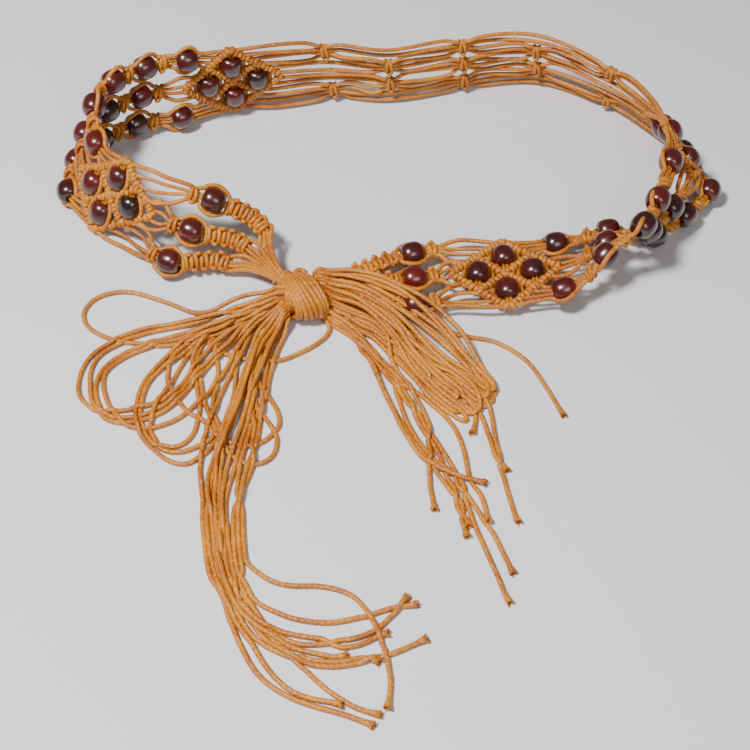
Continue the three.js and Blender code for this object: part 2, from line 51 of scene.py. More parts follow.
AIM = np.array([
    (knot_low.x + knot_high.x) / 2 - KNOT_MIDDLE[0] / 1000,
    (knot_low.y + knot_high.y) / 2 - KNOT_MIDDLE[1] / 1000,
    0.0,
])

# The camera looks down on the belt at 50 degrees from in front of the bow. Its picture is measured in
# pixels, and so is its focal length.
CAMERA_AWAY = 608.0
CAMERA_DOWN = math.radians(50)
LENS, SENSOR = 65, 36
PICTURE = 750
FOCAL = LENS / SENSOR * PICTURE
eye = np.array([0.0, -CAMERA_AWAY * math.cos(CAMERA_DOWN), CAMERA_AWAY * math.sin(CAMERA_DOWN)])
camera = bpy.data.objects.new("camera", bpy.data.cameras.new("camera"))
camera.data.lens = LENS
camera.data.sensor_width = SENSOR
camera.data.clip_start = 0.01
camera.location = AIM + eye / 1000
camera.rotation_euler = (math.pi / 2 - CAMERA_DOWN, 0, 0)
bpy.context.scene.collection.objects.link(camera)
bpy.context.scene.camera = camera


def seen(x, y, height=1):
    """The place, in millimetres, that shows at (x, y) of the picture and is `height` above the table. A cord
    that lies on the table needs no height."""
    ahead = np.array([0.0, math.cos(CAMERA_DOWN), -math.sin(CAMERA_DOWN)])
    above = np.array([0.0, math.sin(CAMERA_DOWN), math.cos(CAMERA_DOWN)])
    ray = ahead + np.array([1.0, 0, 0]) * (x - PICTURE / 2) / FOCAL + above * (PICTURE / 2 - y) / FOCAL
    return eye + ray * (height - eye[2]) / ray[2]


# Waxed cotton cord, the one cord that the whole belt is knotted from: a round braid, about 2.2 mm thick,
# stiffened by its wax. Its mesh is a tube with u round the cord and v along it in millimetres.
CORD = 2.2
SQUEEZED = 0.86  # a core cord's share of that where a bead or a knot grips it
STRANDS = 5  # of the braid, winding each way
BRAID = 2.6  # along the cord from one strand to the next, drawn coarse enough to show


def smooth(points, step):
    """Points every `step` along a smooth curve through the given ones, without overshoot."""
    p = np.array(points, float)
    p = np.vstack([2 * p[0] - p[1], p, 2 * p[-1] - p[-2]])
    out = []
    for a, b, c, d in zip(p[:-3], p[1:-2], p[2:-1], p[3:]):
        t1 = max(np.linalg.norm(b - a), 1e-6) ** 0.5
        t2 = t1 + max(np.linalg.norm(c - b), 1e-6) ** 0.5
        t3 = t2 + max(np.linalg.norm(d - c), 1e-6) ** 0.5
        n = max(2, int(np.linalg.norm(c - b) / step) + 1)
        for t in np.linspace(t1, t2, n, endpoint=False):
            a1 = (t1 - t) / t1 * a + t / t1 * b
            a2 = (t2 - t) / (t2 - t1) * b + (t - t1) / (t2 - t1) * c
            a3 = (t3 - t) / (t3 - t2) * c + (t - t2) / (t3 - t2) * d
            b1 = (t2 - t) / t2 * a1 + t / t2 * a2
            b2 = (t3 - t) / (t3 - t1) * a2 + (t - t1) / (t3 - t1) * a3
            out.append((t2 - t) / (t2 - t1) * b1 + (t - t1) / (t2 - t1) * b2)
    out.append(p[-2])
    return even(np.array(out), step)


def even(points, step):
    """The same line with its points evenly spaced, `step` apart or a little less."""
    run = np.concatenate([[0], np.cumsum(np.linalg.norm(np.diff(points, axis=0), axis=1))])
    wanted = np.linspace(0, run[-1], max(2, int(math.ceil(run[-1] / step)) + 1))
    return np.stack([np.interp(wanted, run, points[:, k]) for k in range(3)], axis=1)


class Tubes:
    """Cords that become one mesh."""

    def __init__(self):
        self.points, self.faces, self.uvs, self.count = [], [], [], 0

    def add(self, line, radius, sides=8):
        """A closed tube round a line; radius is one number or one for each point."""
        line = np.asarray(line, float)
        n = len(line)
        radii = np.broadcast_to(np.asarray(radius, float), (n,))
        ahead = np.gradient(line, axis=0)
        ahead /= np.maximum(np.linalg.norm(ahead, axis=1, keepdims=True), 1e-9)
        across = np.cross(ahead[0], (0.0, 0.0, 1.0))
        if np.linalg.norm(across) < 0.1:
            across = np.cross(ahead[0], (1.0, 0.0, 0.0))
        sides_of = np.empty((n, 3))
        for i in range(n):
            across = across - ahead[i] * np.dot(across, ahead[i])
            across = across / np.linalg.norm(across)
            sides_of[i] = across
        other = np.cross(ahead, sides_of)
        turn = np.arange(sides) * 2 * math.pi / sides
        rings = (
            line[:, None, :]
            + radii[:, None, None] * np.cos(turn)[None, :, None] * sides_of[:, None, :]
            + radii[:, None, None] * np.sin(turn)[None, :, None] * other[:, None, :]
        )
        run = np.concatenate([[0], np.cumsum(np.linalg.norm(np.diff(line, axis=0), axis=1))])
        base = self.count
        self.points.append(rings.reshape(-1, 3))
        self.points.append(line[[0, -1]])
        self.count += n * sides + 2
        for i in range(n - 1):
            for k in range(sides):
                m = (k + 1) % sides
                a, b = base + i * sides, base + (i + 1) * sides
                self.faces.append((a + k, a + m, b + m, b + k))
                self.uvs.append((
                    (k / sides, run[i]), ((k + 1) / sides, run[i]),
                    ((k + 1) / sides, run[i + 1]), (k / sides, run[i + 1]),
                ))
        for cap, ring, order in ((n * sides, 0, -1), (n * sides + 1, (n - 1) * sides, 1)):
            for k in range(sides):
                m = (k + 1) % sides
                pair = (base + ring + k, base + ring + m)[::order]
                self.faces.append((base + cap, *pair))
                at = run[0] if ring == 0 else run[-1]
                self.uvs.append(((0.5, at), (k / sides, at), ((k + 1) / sides, at)))

    def mesh_object(self, name, material):
        """The mesh, moved to the belt's place."""
        points = AIM + np.vstack(self.points) / 1000
        mesh = bpy.data.meshes.new(name)
        mesh.from_pydata(points.tolist(), [], self.faces)
        layer = mesh.uv_layers.new(name="cord")
        layer.data.foreach_set("uv", np.array([c for face in self.uvs for c in face], np.float32).ravel())
        mesh.shade_smooth()
        mesh.materials.append(material)
        thing = bpy.data.objects.new(name, mesh)
        bpy.context.scene.collection.objects.link(thing)
        return thing


def linear(code):
    """A colour given as sRGB hex digits, in the linear values that shaders take."""
    levels = [int(code[i:i + 2], 16) / 255 for i in (0, 2, 4)]
    return (*[x / 12.92 if x <= 0.04045 else ((x + 0.055) / 1.055) ** 2.4 for x in levels], 1.0)


def add_node(tree, kind, settings=(), inputs=()):
    """A shader or geometry node with its settings, and its inputs set or linked."""
    node = tree.nodes.new(kind)
    for name, value in dict(settings).items():
        setattr(node, name, value)
    for name, value in dict(inputs).items():
        if isinstance(value, bpy.types.NodeSocket):
            tree.links.new(value, node.inputs[name])
        else:
            node.inputs[name].default_value = value
    return node


def cord_material():
    """Waxed braided cotton: matt, with a dull sheen, painted shade between its strands, and pale flecks of
    painted sheen.
    """
    material = bpy.data.materials.new("waxed_cord")
    material.use_nodes = True
    tree = material.node_tree
    shader = tree.nodes["Principled BSDF"]
    uv = add_node(tree, "ShaderNodeUVMap", {"uv_map": "cord"}).outputs["UV"]
    place = add_node(tree, "ShaderNodeTexCoord").outputs["Object"]
    parts = add_node(tree, "ShaderNodeSeparateXYZ", inputs={"Vector": uv})
    # The braid: two families of strands wind opposite ways, with a small valley where they meet; below, the
    # valleys are darkened in the colour as painted shade.
    winds = []
    for strands in (STRANDS, -STRANDS):
        turned = add_node(tree, "ShaderNodeMath", {"operation": "MULTIPLY"}, {
            0: parts.outputs["X"], 1: strands})
        wound = add_node(tree, "ShaderNodeMath", {"operation": "MULTIPLY_ADD"}, {
            0: parts.outputs["Y"], 1: 1 / BRAID, 2: turned.outputs[0]})
        angle = add_node(tree, "ShaderNodeMath", {"operation": "MULTIPLY"}, {0: wound.outputs[0], 1: math.pi})
        wave = add_node(tree, "ShaderNodeMath", {"operation": "SINE"}, {0: angle.outputs[0]})
        ridge = add_node(tree, "ShaderNodeMath", {"operation": "ABSOLUTE"}, {0: wave.outputs[0]})
        winds.append(ridge.outputs[0])
    braid = add_node(tree, "ShaderNodeMath", {"operation": "MULTIPLY"}, {0: winds[0], 1: winds[1]}).outputs[0]
    # Clouds of tone about 17 mm across, and pale flecks of painted sheen on the strands every millimetre and a
    # half.
    broad = add_node(tree, "ShaderNodeTexNoise", inputs={"Vector": place, "Scale": 60.0, "Detail": 3.0})
    fine = add_node(tree, "ShaderNodeTexNoise", inputs={"Vector": place, "Scale": 700.0, "Detail": 4.0})
    ramp = add_node(tree, "ShaderNodeValToRGB", inputs={"Fac": broad.outputs["Fac"]})
    ramp.color_ramp.elements[0].position = 0.3
    ramp.color_ramp.elements[0].color = linear("a65606")
    ramp.color_ramp.elements[1].position = 0.72
    ramp.color_ramp.elements[1].color = linear("cf8213")
    # Painted shade: where the braid's strands meet, the colour is mixed up to 0.4 towards dark brown 5e2a02.
    valley_shade = add_node(tree, "ShaderNodeMapRange", inputs={
        "Value": braid, "From Min": 0.0, "From Max": 0.45, "To Min": 0.4, "To Max": 0.0})
    shaded_weave = add_node(tree, "ShaderNodeMix", {"data_type": "RGBA"}, {
        "Factor": valley_shade.outputs["Result"], 6: ramp.outputs["Color"], 7: linear("5e2a02")})
    # Painted sheen: pale flecks of edad4c mixed into the colour, up to 0.4, where the fine noise is high.
    flecks = add_node(tree, "ShaderNodeMapRange", inputs={
        "Value": fine.outputs["Fac"], "From Min": 0.52, "From Max": 0.68, "To Min": 0.0, "To Max": 0.4})
    sheen_flecked = add_node(tree, "ShaderNodeMix", {"data_type": "RGBA"}, {
        "Factor": flecks.outputs["Result"], 6: shaded_weave.outputs[2], 7: linear("edad4c")})
    tree.links.new(sheen_flecked.outputs[2], shader.inputs["Base Color"])
    rough = add_node(tree, "ShaderNodeMapRange", inputs={
        "Value": fine.outputs["Fac"], "From Min": 0.3, "From Max": 0.7, "To Min": 0.42, "To Max": 0.6})
    tree.links.new(rough.outputs["Result"], shader.inputs["Roughness"])
    height = add_node(tree, "ShaderNodeMath", {"operation": "MULTIPLY_ADD"}, {
        0: fine.outputs["Fac"], 1: 0.8, 2: braid})
    bump = add_node(tree, "ShaderNodeBump", inputs={
        "Strength": 0.6, "Distance": 0.0002, "Height": height.outputs[0]})
    tree.links.new(bump.outputs["Normal"], shader.inputs["Normal"])
    shader.inputs["Coat Weight"].default_value = 0.05
    shader.inputs["Coat Roughness"].default_value = 0.35
    return material


waxed_cord = cord_material()


# The band: twelve cords wide, knotted flat and stood up in its loop. A place on it is (u along, v up, w
# towards the wearer). The loop's stations, as in the part, are the band's lower and upper edge in shares of
# the loop's width and depth and the band's height.
STATIONS = {
    "knot left": ((-0.138, 0.036, 0.2), (-0.135, 0.066, 0.3)),
    "sinnet left": ((-0.241, 0.147, 0.09), (-0.165, 0.272, 0.4)),
    "beads left": ((-0.314, 0.127, 0.1), (-0.227, 0.311, 0.68)),
    "fan left": ((-0.38, 0.266, 0.03), (-0.314, 0.319, 0.86)),
    "lattice front left": ((-0.424, 0.325, 0.03), (-0.356, 0.376, 0.87)),
    "left end": ((-0.475, 0.455, 0.04), (-0.402, 0.494, 0.87)),
    "chain left": ((-0.459, 0.637, 0.03), (-0.41, 0.672, 1.04)),
    "chain left back": ((-0.384, 0.764, 0.03), (-0.348, 0.783, 1.08)),
    "chain left far": ((-0.324, 0.788, 0.03), (-0.297, 0.815, 1.08)),
    "lattice back left": ((-0.234, 0.884, 0.03), (-0.232, 0.845, 1.01)),
    "back 0": ((-0.168, 0.904, 0.03), (-0.163, 0.878, 0.99)),
    "back 1": ((-0.077, 0.945, 0.03), (-0.095, 0.915, 0.91)),
    "back 2": ((0.012, 0.935, 0.03), (0.004, 0.9, 0.85)),
    "back 3": ((0.129, 0.992, 0.03), (0.118, 0.958, 0.85)),
    "back 4": ((0.247, 1.018, 0.03), (0.232, 0.976, 0.84)),
    "back 5": ((0.351, 0.9, 0.03), (0.341, 0.822, 0.82)),
    "corner right": ((0.418, 0.75, 0.03), (0.387, 0.664, 0.85)),
    "lattice back right": ((0.462, 0.625, 0.04), (0.4, 0.558, 0.84)),
    "right end": ((0.491, 0.478, 0.07), (0.394, 0.44, 0.8)),
    "chain right": ((0.445, 0.372, 0.07), (0.366, 0.247, 0.8)),
    "chain right mid": ((0.382, 0.281, 0.07), (0.338, 0.11, 0.83)),
    "chain right near": ((0.329, 0.323, 0.1), (0.3, 0.068, 0.56)),
    "chain right far": ((0.256, 0.284, 0.12), (0.256, -0.006, 0.28)),
    "lattice front right": ((0.165, 0.249, 0.15), (0.168, -0.024, 0.15)),
    "fan right": ((0.096, 0.252, 0.15), (0.094, -0.027, 0.15)),
    "beads right": ((0.037, 0.23, 0.16), (0.042, -0.06, 0.2)),
    "sinnet right": ((-0.038, 0.135, 0.16), (-0.035, 0.0, 0.2)),
    "knot right": ((-0.08, 0.085, 0.12), (-0.077, 0.045, 0.17)),
}
LOOP = np.array([340.0, 165.0, 46.0])
LOOP_START = np.array([5.0, 38.0, 0.0])
LOOP_SAMPLES = 540


def edge(which, t):
    """The band's lower (0) or upper (1) edge at shares t of its stations."""
    p = np.array([LOOP_START + np.array(s[which]) * LOOP for s in STATIONS.values()])
    p = np.vstack([2 * p[0] - p[1], p, 2 * p[-1] - p[-2]])
    at = np.clip(np.asarray(t, float), 0, 1) * (len(STATIONS) - 1)
    i = np.minimum(at.astype(int), len(STATIONS) - 2)
    w = (at - i)[:, None]
    a, b, c, d = p[i], p[i + 1], p[i + 2], p[i + 3]
    t0, t1 = (c - a) / 2, (d - b) / 2
    return b + t0 * w + (3 * (c - b) - 2 * t0 - t1) * w ** 2 + (2 * (b - c) + t0 + t1) * w ** 3


loop_times = np.linspace(0, 1, LOOP_SAMPLES + 1)
middles = (edge(0, loop_times) + edge(1, loop_times)) / 2
loop_lengths = np.concatenate([[0], np.cumsum(np.linalg.norm(np.diff(middles, axis=0), axis=1))])
U = {name: loop_lengths[round(i / (len(STATIONS) - 1) * LOOP_SAMPLES)] for i, name in enumerate(STATIONS)}


def on_band(u, v):
    """Places on the band's middle surface."""
    t = np.interp(u, loop_lengths, loop_times)
    low, high = edge(0, t), edge(1, t)
    return low + (high - low) * (np.asarray(v) / LOOP[2] + 0.5)[:, None]


def band_frame(u, v):
    """Place, and directions along the belt, up across it and through it, for arrays of u and v."""
    u, v = np.atleast_1d(np.asarray(u, float)), np.atleast_1d(np.asarray(v, float))
    along = on_band(u + 1, v) - on_band(u - 1, v)
    along /= np.linalg.norm(along, axis=1, keepdims=True)
    inward = np.cross(along, on_band(u, v + 1) - on_band(u, v - 1))
    inward /= np.linalg.norm(inward, axis=1, keepdims=True)
    return on_band(u, v), along, np.cross(inward, along), inward


def bend(points):
    """Flat points of the band, bent with it."""
    p = np.asarray(points, float)
    place, _, _, inward = band_frame(p[:, 0], p[:, 1])
    return place + inward * p[:, 2:3]


def rigid(points, u, v):
    """Points about (u, v) of the flat band, set there without bending."""
    place, along, up, inward = (x[0] for x in band_frame(u, v))
    p = np.asarray(points, float)
    return place + p[:, :1] * along + p[:, 1:2] * up + p[:, 2:3] * inward


# The cords that the band is made of: twelve, at even heights where they are free, and four to each of the
# three rows of beads. The lattices are given by the place of their middle and by half their size.
CORDS = 12
ROWS = (-16.4, 0.0, 16.4)
RING_STEP = 1.1  # along a knotted cord, from one ring of its mesh to the next
rest = [(-0.5 + (i + 0.5) / CORDS) * LOOP[2] for i in range(CORDS)]
HALF_LENGTH, HALF_HEIGHT = 26.0, 22.0
lattices = {
    "front_left": U["lattice front left"],
    "back_left": U["lattice back left"],
    "back_right": U["lattice back right"],
    "front_right": U["lattice front right"],
}
rng = random.Random(7)


def bar_point(middle, v, side):
    """Where a cord at height v meets a lattice's outer bar."""
    return (middle + side * HALF_LENGTH * (1 - min(1, abs(v) / HALF_HEIGHT)), v, 0.0)


def lay(tubes, points, radius=CORD / 2):
    """A cord through flat points of the band."""
    tubes.add(bend(smooth(points, RING_STEP)), radius)


def square_knot(u, v, turns=2, pitch=2.4, reach=3.5, way=1, face=1):
    """The two tying cords of a square knot, as flat points. One makes the bars on its face; the other passes
    behind and comes up over their ends, which shows as a bump on alternate sides."""
    bars, bumps = [], []
    points_a_turn = 6
    for k in range(turns * points_a_turn + 1):
        s = k / points_a_turn
        at = u + way * (s - turns / 2 + 0.15 * math.sin(2 * math.pi * s)) * pitch
        swing = math.cos(math.pi * s)
        side = math.copysign(1, swing)
        depth = 1 - swing ** 2
        bars.append((at, v - side * abs(swing) ** 0.8 * (reach - 0.5), face * (2.5 * depth ** 0.4 - 0.9)))
        height = 2.5 * (0.3 + 0.7 * min(1, s, turns - s))
        lift = height - (height + 2.3) * depth ** 0.9
        bumps.append((at, v + side * abs(swing) ** 0.45 * (reach + 0.3), face * lift))
    return bars, bumps


def sinnet_group(centre):
    """Heights of the four cords of a row: outer, core, core, outer."""
    return [centre + height for height in (-2.8, -0.95, 0.95, 2.8)]


# Beads: hardwood turned to a barrel 12 mm across and 11 mm long, drilled through, stained a dark red-brown
# and lacquered. Two cords through the bore hold each one.
BEAD_LENGTH = 11.0
BORE_PAIR = 1.7  # from one to the other of two cords in a bore


def bead_mesh(name, seats, material):
    """Beads at (u, v, across) seats as one mesh; the hole runs along the belt, or across it."""
    # Radius and height from the bead's middle up the outside to the rim of the bore. Both halves are alike.
    half = [(5.93, 1.6), (5.6, 3.0), (4.9, 4.3), (3.9, 5.2), (2.6, 5.52), (1.95, 5.42), (1.65, 5.1)]
    profile = [*((r, -h) for r, h in half[::-1]), (6.0, 0.0), *half, (1.6, 0.0)]
    sides, rows = 28, len(profile)
    points, faces = [], []
    for u, v, across in seats:
        angles = [2 * math.pi * k / sides for k in range(sides)]
        local = np.array([(math.cos(a) * r, h, math.sin(a) * r) for r, h in profile for a in angles])
        if not across:
            local = local[:, [1, 0, 2]] * np.array([1, -1, 1])
        base = sum(len(p) for p in points)
        points.append(rigid(local, u, v))
        for i in range(rows):
            here, there = base + i * sides, base + (i + 1) % rows * sides
            for k in range(sides):
                m = (k + 1) % sides
                faces.append((here + k, there + k, there + m, here + m))
    mesh = bpy.data.meshes.new(name)
    mesh.from_pydata((AIM + np.vstack(points) / 1000).tolist(), [], faces)
    mesh.shade_smooth()
    mesh.materials.append(material)
    thing = bpy.data.objects.new(name, mesh)
    bpy.context.scene.collection.objects.link(thing)
    return thing


def bead_material():
    """Stained and lacquered hardwood: deep red-brown, faint grain and clouds under a soft clear gloss."""
    material = bpy.data.materials.new("lacquered_wood")
    material.use_nodes = True
    tree = material.node_tree
    shader = tree.nodes["Principled BSDF"]
    place = add_node(tree, "ShaderNodeTexCoord").outputs["Object"]
    # Grain about 6 mm long and 1 mm wide, and clouds of stain wider than a bead, so that beads differ.
    stretch = add_node(tree, "ShaderNodeMapping", inputs={"Vector": place, "Scale": (160.0, 160.0, 900.0)})
    grain = add_node(tree, "ShaderNodeTexNoise", inputs={
        "Vector": stretch.outputs[0], "Scale": 1.0, "Detail": 4.0})
    cloud = add_node(tree, "ShaderNodeTexNoise", inputs={"Vector": place, "Scale": 38.0, "Detail": 1.0})
    both = add_node(tree, "ShaderNodeMath", {"operation": "MULTIPLY_ADD"},
                    {0: grain.outputs["Fac"], 1: 0.45, 2: cloud.outputs["Fac"]})
    ramp = add_node(tree, "ShaderNodeValToRGB", inputs={"Fac": both.outputs[0]})
    ramp.color_ramp.elements[0].position = 0.5
    ramp.color_ramp.elements[0].color = linear("1c0303")
    ramp.color_ramp.elements[1].position = 0.95
    ramp.color_ramp.elements[1].color = linear("580c07")
    tree.links.new(ramp.outputs["Color"], shader.inputs["Base Color"])
    shader.inputs["Roughness"].default_value = 0.3
    shader.inputs["Coat Weight"].default_value = 0.8
    shader.inputs["Coat Roughness"].default_value = 0.16
    return material


lacquered_wood = bead_material()


def finished(thing, slot, *nodes):
    """The piece takes the place of its CAD nodes."""
    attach(thing, "root")
    if nodes:
        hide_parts(*nodes)
    return thing


# Three sinnets at each end of the band: square knots over two core cords, then a bead that the two outer
# cords pass on each side, one more square knot, and a fan of the twelve cords on to the lattice.
SINNET_LENGTH = 22.0
SINNET_TURNS = 9
KNOT_LENGTH = 5.0
BEAD_SEAT = BEAD_LENGTH / 2 + 1.4  # from a bead's middle to the knots beside it
FADE = 12  # where a sinnet's own straight course passes over into the band's


def frame_points(u, v, sign, way):
    """An outer cord's way round a bead."""
    return [
        (u - way * 6.4, v + sign * 3.6, 0.2),
        (u - way * 4.0, v + sign * 5.8, 0.3),
        (u, v + sign * 7.15, 0.0),
        (u + way * 4.0, v + sign * 5.8, -0.3),
        (u + way * 6.4, v + sign * 3.6, -0.2),
    ]


def lay_row(tubes, points, row, between, radius=CORD / 2):
    """A cord of a sinnet. Between two places it follows its row square on; elsewhere the band bends it."""
    p = smooth(points, RING_STEP)
    flat = bend(p)
    place, _, up, inward = band_frame(p[:, 0], np.full(len(p), row))
    square = place + up * (p[:, 1:2] - row) + inward * p[:, 2:3]
    off = np.maximum(min(between) - p[:, 0], p[:, 0] - max(between))
    share = np.clip(1 - off / FADE, 0, 1)[:, None]
    tubes.add(flat + (square - flat) * share ** 2 * (3 - 2 * share), radius)


def lay_sinnets(name, knot_u, bead_u, middle, way):
    """The three sinnets of one end, from the wrapped knot to the lattice's bars."""
    tubes = Tubes()
    for row, v in enumerate(ROWS):
        near = bead_u - way * BEAD_SEAT
        far = near - way * SINNET_LENGTH
        knot_at = bead_u + way * (BEAD_SEAT + KNOT_LENGTH / 2)
        pitch = SINNET_LENGTH / (SINNET_TURNS + 0.2)
        sinnet = square_knot((near + far) / 2, v, SINNET_TURNS, pitch, 3.7, way, -way)
        last_knot = square_knot(knot_at, v, way=way, face=-way)
        heights = sinnet_group(v)
        gather = [v * 0.45 + (i - 1.5) * 3.1 + rng.uniform(-0.6, 0.6) for i in range(4)]
        for i in range(4):
            start = [
                (knot_u, gather[i] * 0.7, rng.uniform(-2, 2)),
                ((knot_u + far) / 2, gather[i], rng.uniform(-1.5, 1.5)),
            ]
            v_bar = rest[row * 4 + i]
            stop = bar_point(middle, v_bar, -way)
            bow = (v_bar - v) * 0.35 + rng.uniform(-0.5, 0.5)
            shoulder = (heights[i] * 1.3 + v_bar * 1.7) / 3 + bow
            spread = [
                ((knot_at * 2 + stop[0]) / 3 + way, shoulder, rng.uniform(-1.4, 1.4)),
                ((knot_at + stop[0] * 2) / 3, v_bar + bow, rng.uniform(-1.4, 1.4)),
                stop,
            ]
            if i in (1, 2):
                stops = (far, near - way, knot_at - way * 2, knot_at + way * 3.5)
                straight = [(u, heights[i], 0) for u in stops]
                threaded = [*straight[:2], (bead_u, v + (i - 1.5) * BORE_PAIR, 0), *straight[2:]]
                lay_row(tubes, start + threaded + spread, v, (far, knot_at), CORD / 2 * SQUEEZED)
            else:
                sign, which = (-1, 0) if i == 0 else (1, 1)
                tied = sinnet[which] + frame_points(bead_u, v, sign, way) + last_knot[which]
                lay_row(tubes, start + tied + spread, v, (far, knot_at))
    finished(tubes.mesh_object(name, waxed_cord), "cord", name)


lay_sinnets("sinnets_left", 0.0, U["beads left"], lattices["front_left"], 1)
lay_sinnets("sinnets_right", loop_lengths[-1], U["beads right"], lattices["front_right"], -1)
for side in ("left", "right"):
    name = f"bead_sinnet_{side}"
    seats = [(U[f"beads {side}"], v, False) for v in ROWS]
    finished(bead_mesh(name + "s", seats, lacquered_wood), "bead", *[f"{name}_{i + 1}" for i in range(3)])


# The hitch: one double half hitch, pulled tight over a holding cord, which makes two turns side by side.
# It is drawn once and repeated along every bar.
HITCH_RADIUS = 1.75  # of the turns' middle line
HITCH_SHIFT = 1.22  # of each turn from the hitch's middle
PULLED_TIGHT = 0.78  # what its own tension leaves of a hitch's height and width
HITCHES = 7  # on a bar


def hitch_template():
    """One hitch about the origin, its holding cord along X and its neat side towards +Z."""
    points = []
    for k in range(19):
        angle = math.radians(315 - k * 45)
        shift = HITCH_SHIFT * math.tanh((k - 9) / 1.2)
        points.append((shift, HITCH_RADIUS * math.cos(angle), HITCH_RADIUS * math.sin(angle)))
    line = smooth(points, 0.7)
    tubes = Tubes()
    tubes.add(line, 1.1 + 0.08 * line[:, 2], 9)
    template = tubes.mesh_object("hitch", waxed_cord)
    template.data.transform(Matrix.Translation(Vector(-AIM)))
    template.data.transform(Matrix.Diagonal((1, PULLED_TIGHT, PULLED_TIGHT, 1)))
    return template


def repeat(name, template, places):
    """A template at many places, by geometry nodes: each place is a point, a rotation and a size."""
    mesh = bpy.data.meshes.new(name)
    mesh.from_pydata([p for p, _, _ in places], [], [])
    mesh.attributes.new("turn", "QUATERNION", "POINT")
    mesh.attributes.new("size", "FLOAT", "POINT")
    for i, (_, turn, size) in enumerate(places):
        mesh.attributes["turn"].data[i].value = turn
        mesh.attributes["size"].data[i].value = size
    holder = bpy.data.objects.new(name, mesh)
    bpy.context.scene.collection.objects.link(holder)
    tree = bpy.data.node_groups.new(name, "GeometryNodeTree")
    tree.interface.new_socket("Geometry", in_out="INPUT", socket_type="NodeSocketGeometry")
    pick = tree.interface.new_socket("Template", in_out="INPUT", socket_type="NodeSocketObject")
    tree.interface.new_socket("Geometry", in_out="OUTPUT", socket_type="NodeSocketGeometry")
    given = add_node(tree, "NodeGroupInput")
    shape = add_node(tree, "GeometryNodeObjectInfo", inputs={"Object": given.outputs["Template"]})
    turn = add_node(tree, "GeometryNodeInputNamedAttribute", {"data_type": "QUATERNION"}, {"Name": "turn"})
    size = add_node(tree, "GeometryNodeInputNamedAttribute", {"data_type": "FLOAT"}, {"Name": "size"})
    spots = add_node(tree, "GeometryNodeInstanceOnPoints", inputs={
        "Points": given.outputs["Geometry"], "Instance": shape.outputs["Geometry"],
        "Rotation": turn.outputs["Attribute"], "Scale": size.outputs["Attribute"]})
    real = add_node(tree, "GeometryNodeRealizeInstances", inputs={"Geometry": spots.outputs["Instances"]})
    painted = add_node(tree, "GeometryNodeSetMaterial", inputs={
        "Geometry": real.outputs["Geometry"], "Material": waxed_cord})
    add_node(tree, "NodeGroupOutput", inputs={"Geometry": painted.outputs["Geometry"]})
    modifier = holder.modifiers.new("repeat", "NODES")
    modifier.node_group = tree
    modifier[pick.identifier] = template
    bpy.context.view_layer.update()
    result = bpy.data.meshes.new_from_object(holder.evaluated_get(bpy.context.evaluated_depsgraph_get()))
    holder.modifiers.remove(modifier)
    holder.data = result
    bpy.data.node_groups.remove(tree)
    return holder


def bar_places(middle, start, end, face):
    """Hitches along a bar between two flat points; `face` turns the neat side towards or from the wearer."""
    a, b = np.array(start, float), np.array(end, float)
    places = []
    for k in range(HITCHES):
        at = a + (b - a) * (k + 0.5) / HITCHES
        place, _, _, inward = (x[0] for x in band_frame(middle + at[0], at[1]))
        beside = [at + (b - a) * s for s in (-0.02, 0.02)]
        ends = bend([(middle + u, v, 0) for u, v in beside])
        x = Vector(ends[1] - ends[0]).normalized()
        z = Vector(inward) * face
        y = z.cross(x).normalized()
        z = x.cross(y)
        slant = Matrix.Rotation(math.radians(rng.uniform(9, 15) * (1 if (b - a)[1] > 0 else -1)), 3, "Z")
        turn = (Matrix((x, y, z)).transposed() @ slant).to_quaternion()
        places.append((tuple(AIM + place / 1000), tuple(turn), rng.uniform(0.97, 1.05)))
    return places


# Four lattices: bars of hitches round a rhombus, a cross of bars inside, and a bead in each of the four
# cells, threaded on two cords from bar to bar, with one more cord passing it on each side.
THREAD, THREAD_HALF = 0.8, 10.5  # a threading cord's radius, squeezed by the bore, and half its length
PASSING = 6.6  # from a cell's middle to the cords beside its bead
hitch = hitch_template()
a, b = HALF_LENGTH, HALF_HEIGHT
corners = [(-a, 0), (0, b), (a, 0), (0, -b)]
cross = [((-a / 2, b / 2), (a / 2, -b / 2)), ((-a / 2, -b / 2), (a / 2, b / 2))]
bars = [*zip(corners, corners[1:] + corners[:1]), *cross]
for name, middle in lattices.items():
    face = -1 if name.endswith("left") and name.startswith("front") else 1
    places = []
    tubes = Tubes()
    for start, end in bars:
        places += bar_places(middle, start, end, face)
        halfway = (middle + (start[0] + end[0]) / 2, (start[1] + end[1]) / 2, 0)
        lay(tubes, [(middle + start[0], start[1], 0), halfway, (middle + end[0], end[1], 0)])
    hitches = repeat(f"lattice_{name}_hitches", hitch, places)
    cells = [(middle, -b / 2), (middle, b / 2), (middle - a / 2, 0), (middle + a / 2, 0)]
    for u, v in cells:
        for shift in (-THREAD, THREAD):
            end = shift * 1.2
            line = [(end, -THREAD_HALF, 0), (shift, 0, 0), (end, THREAD_HALF, 0)]
            tubes.add(rigid(smooth(line, 1.5), u, v), THREAD)
        for shift in (-PASSING, PASSING):
            end = shift * 0.62
            line = [(end, -6.8, -0.4), (shift, -2.5, -1.2), (shift, 2.5, -1.2), (end, 6.8, -0.4)]
            tubes.add(rigid(smooth(line, 1.2), u, v), CORD / 2)
    finished(tubes.mesh_object(f"lattice_{name}", waxed_cord), "cord", f"lattice_{name}")
    finished(hitches, "cord")
    seats = [(u, v, True) for u, v in cells]
    finished(bead_mesh(f"beads_{name}", seats, lacquered_wood), "bead",
             *[f"bead_{name}_{cell}" for cell in ("low", "high", "before", "after")])
bpy.data.objects.remove(hitch)


# Two chain panels between lattices: three rows of four cords. Two of the four run through the beads, the
# outer two pass round them and tie a square knot after each one.
PANEL_STEPS = 4.4  # a panel's length, in steps from one column of beads to the next


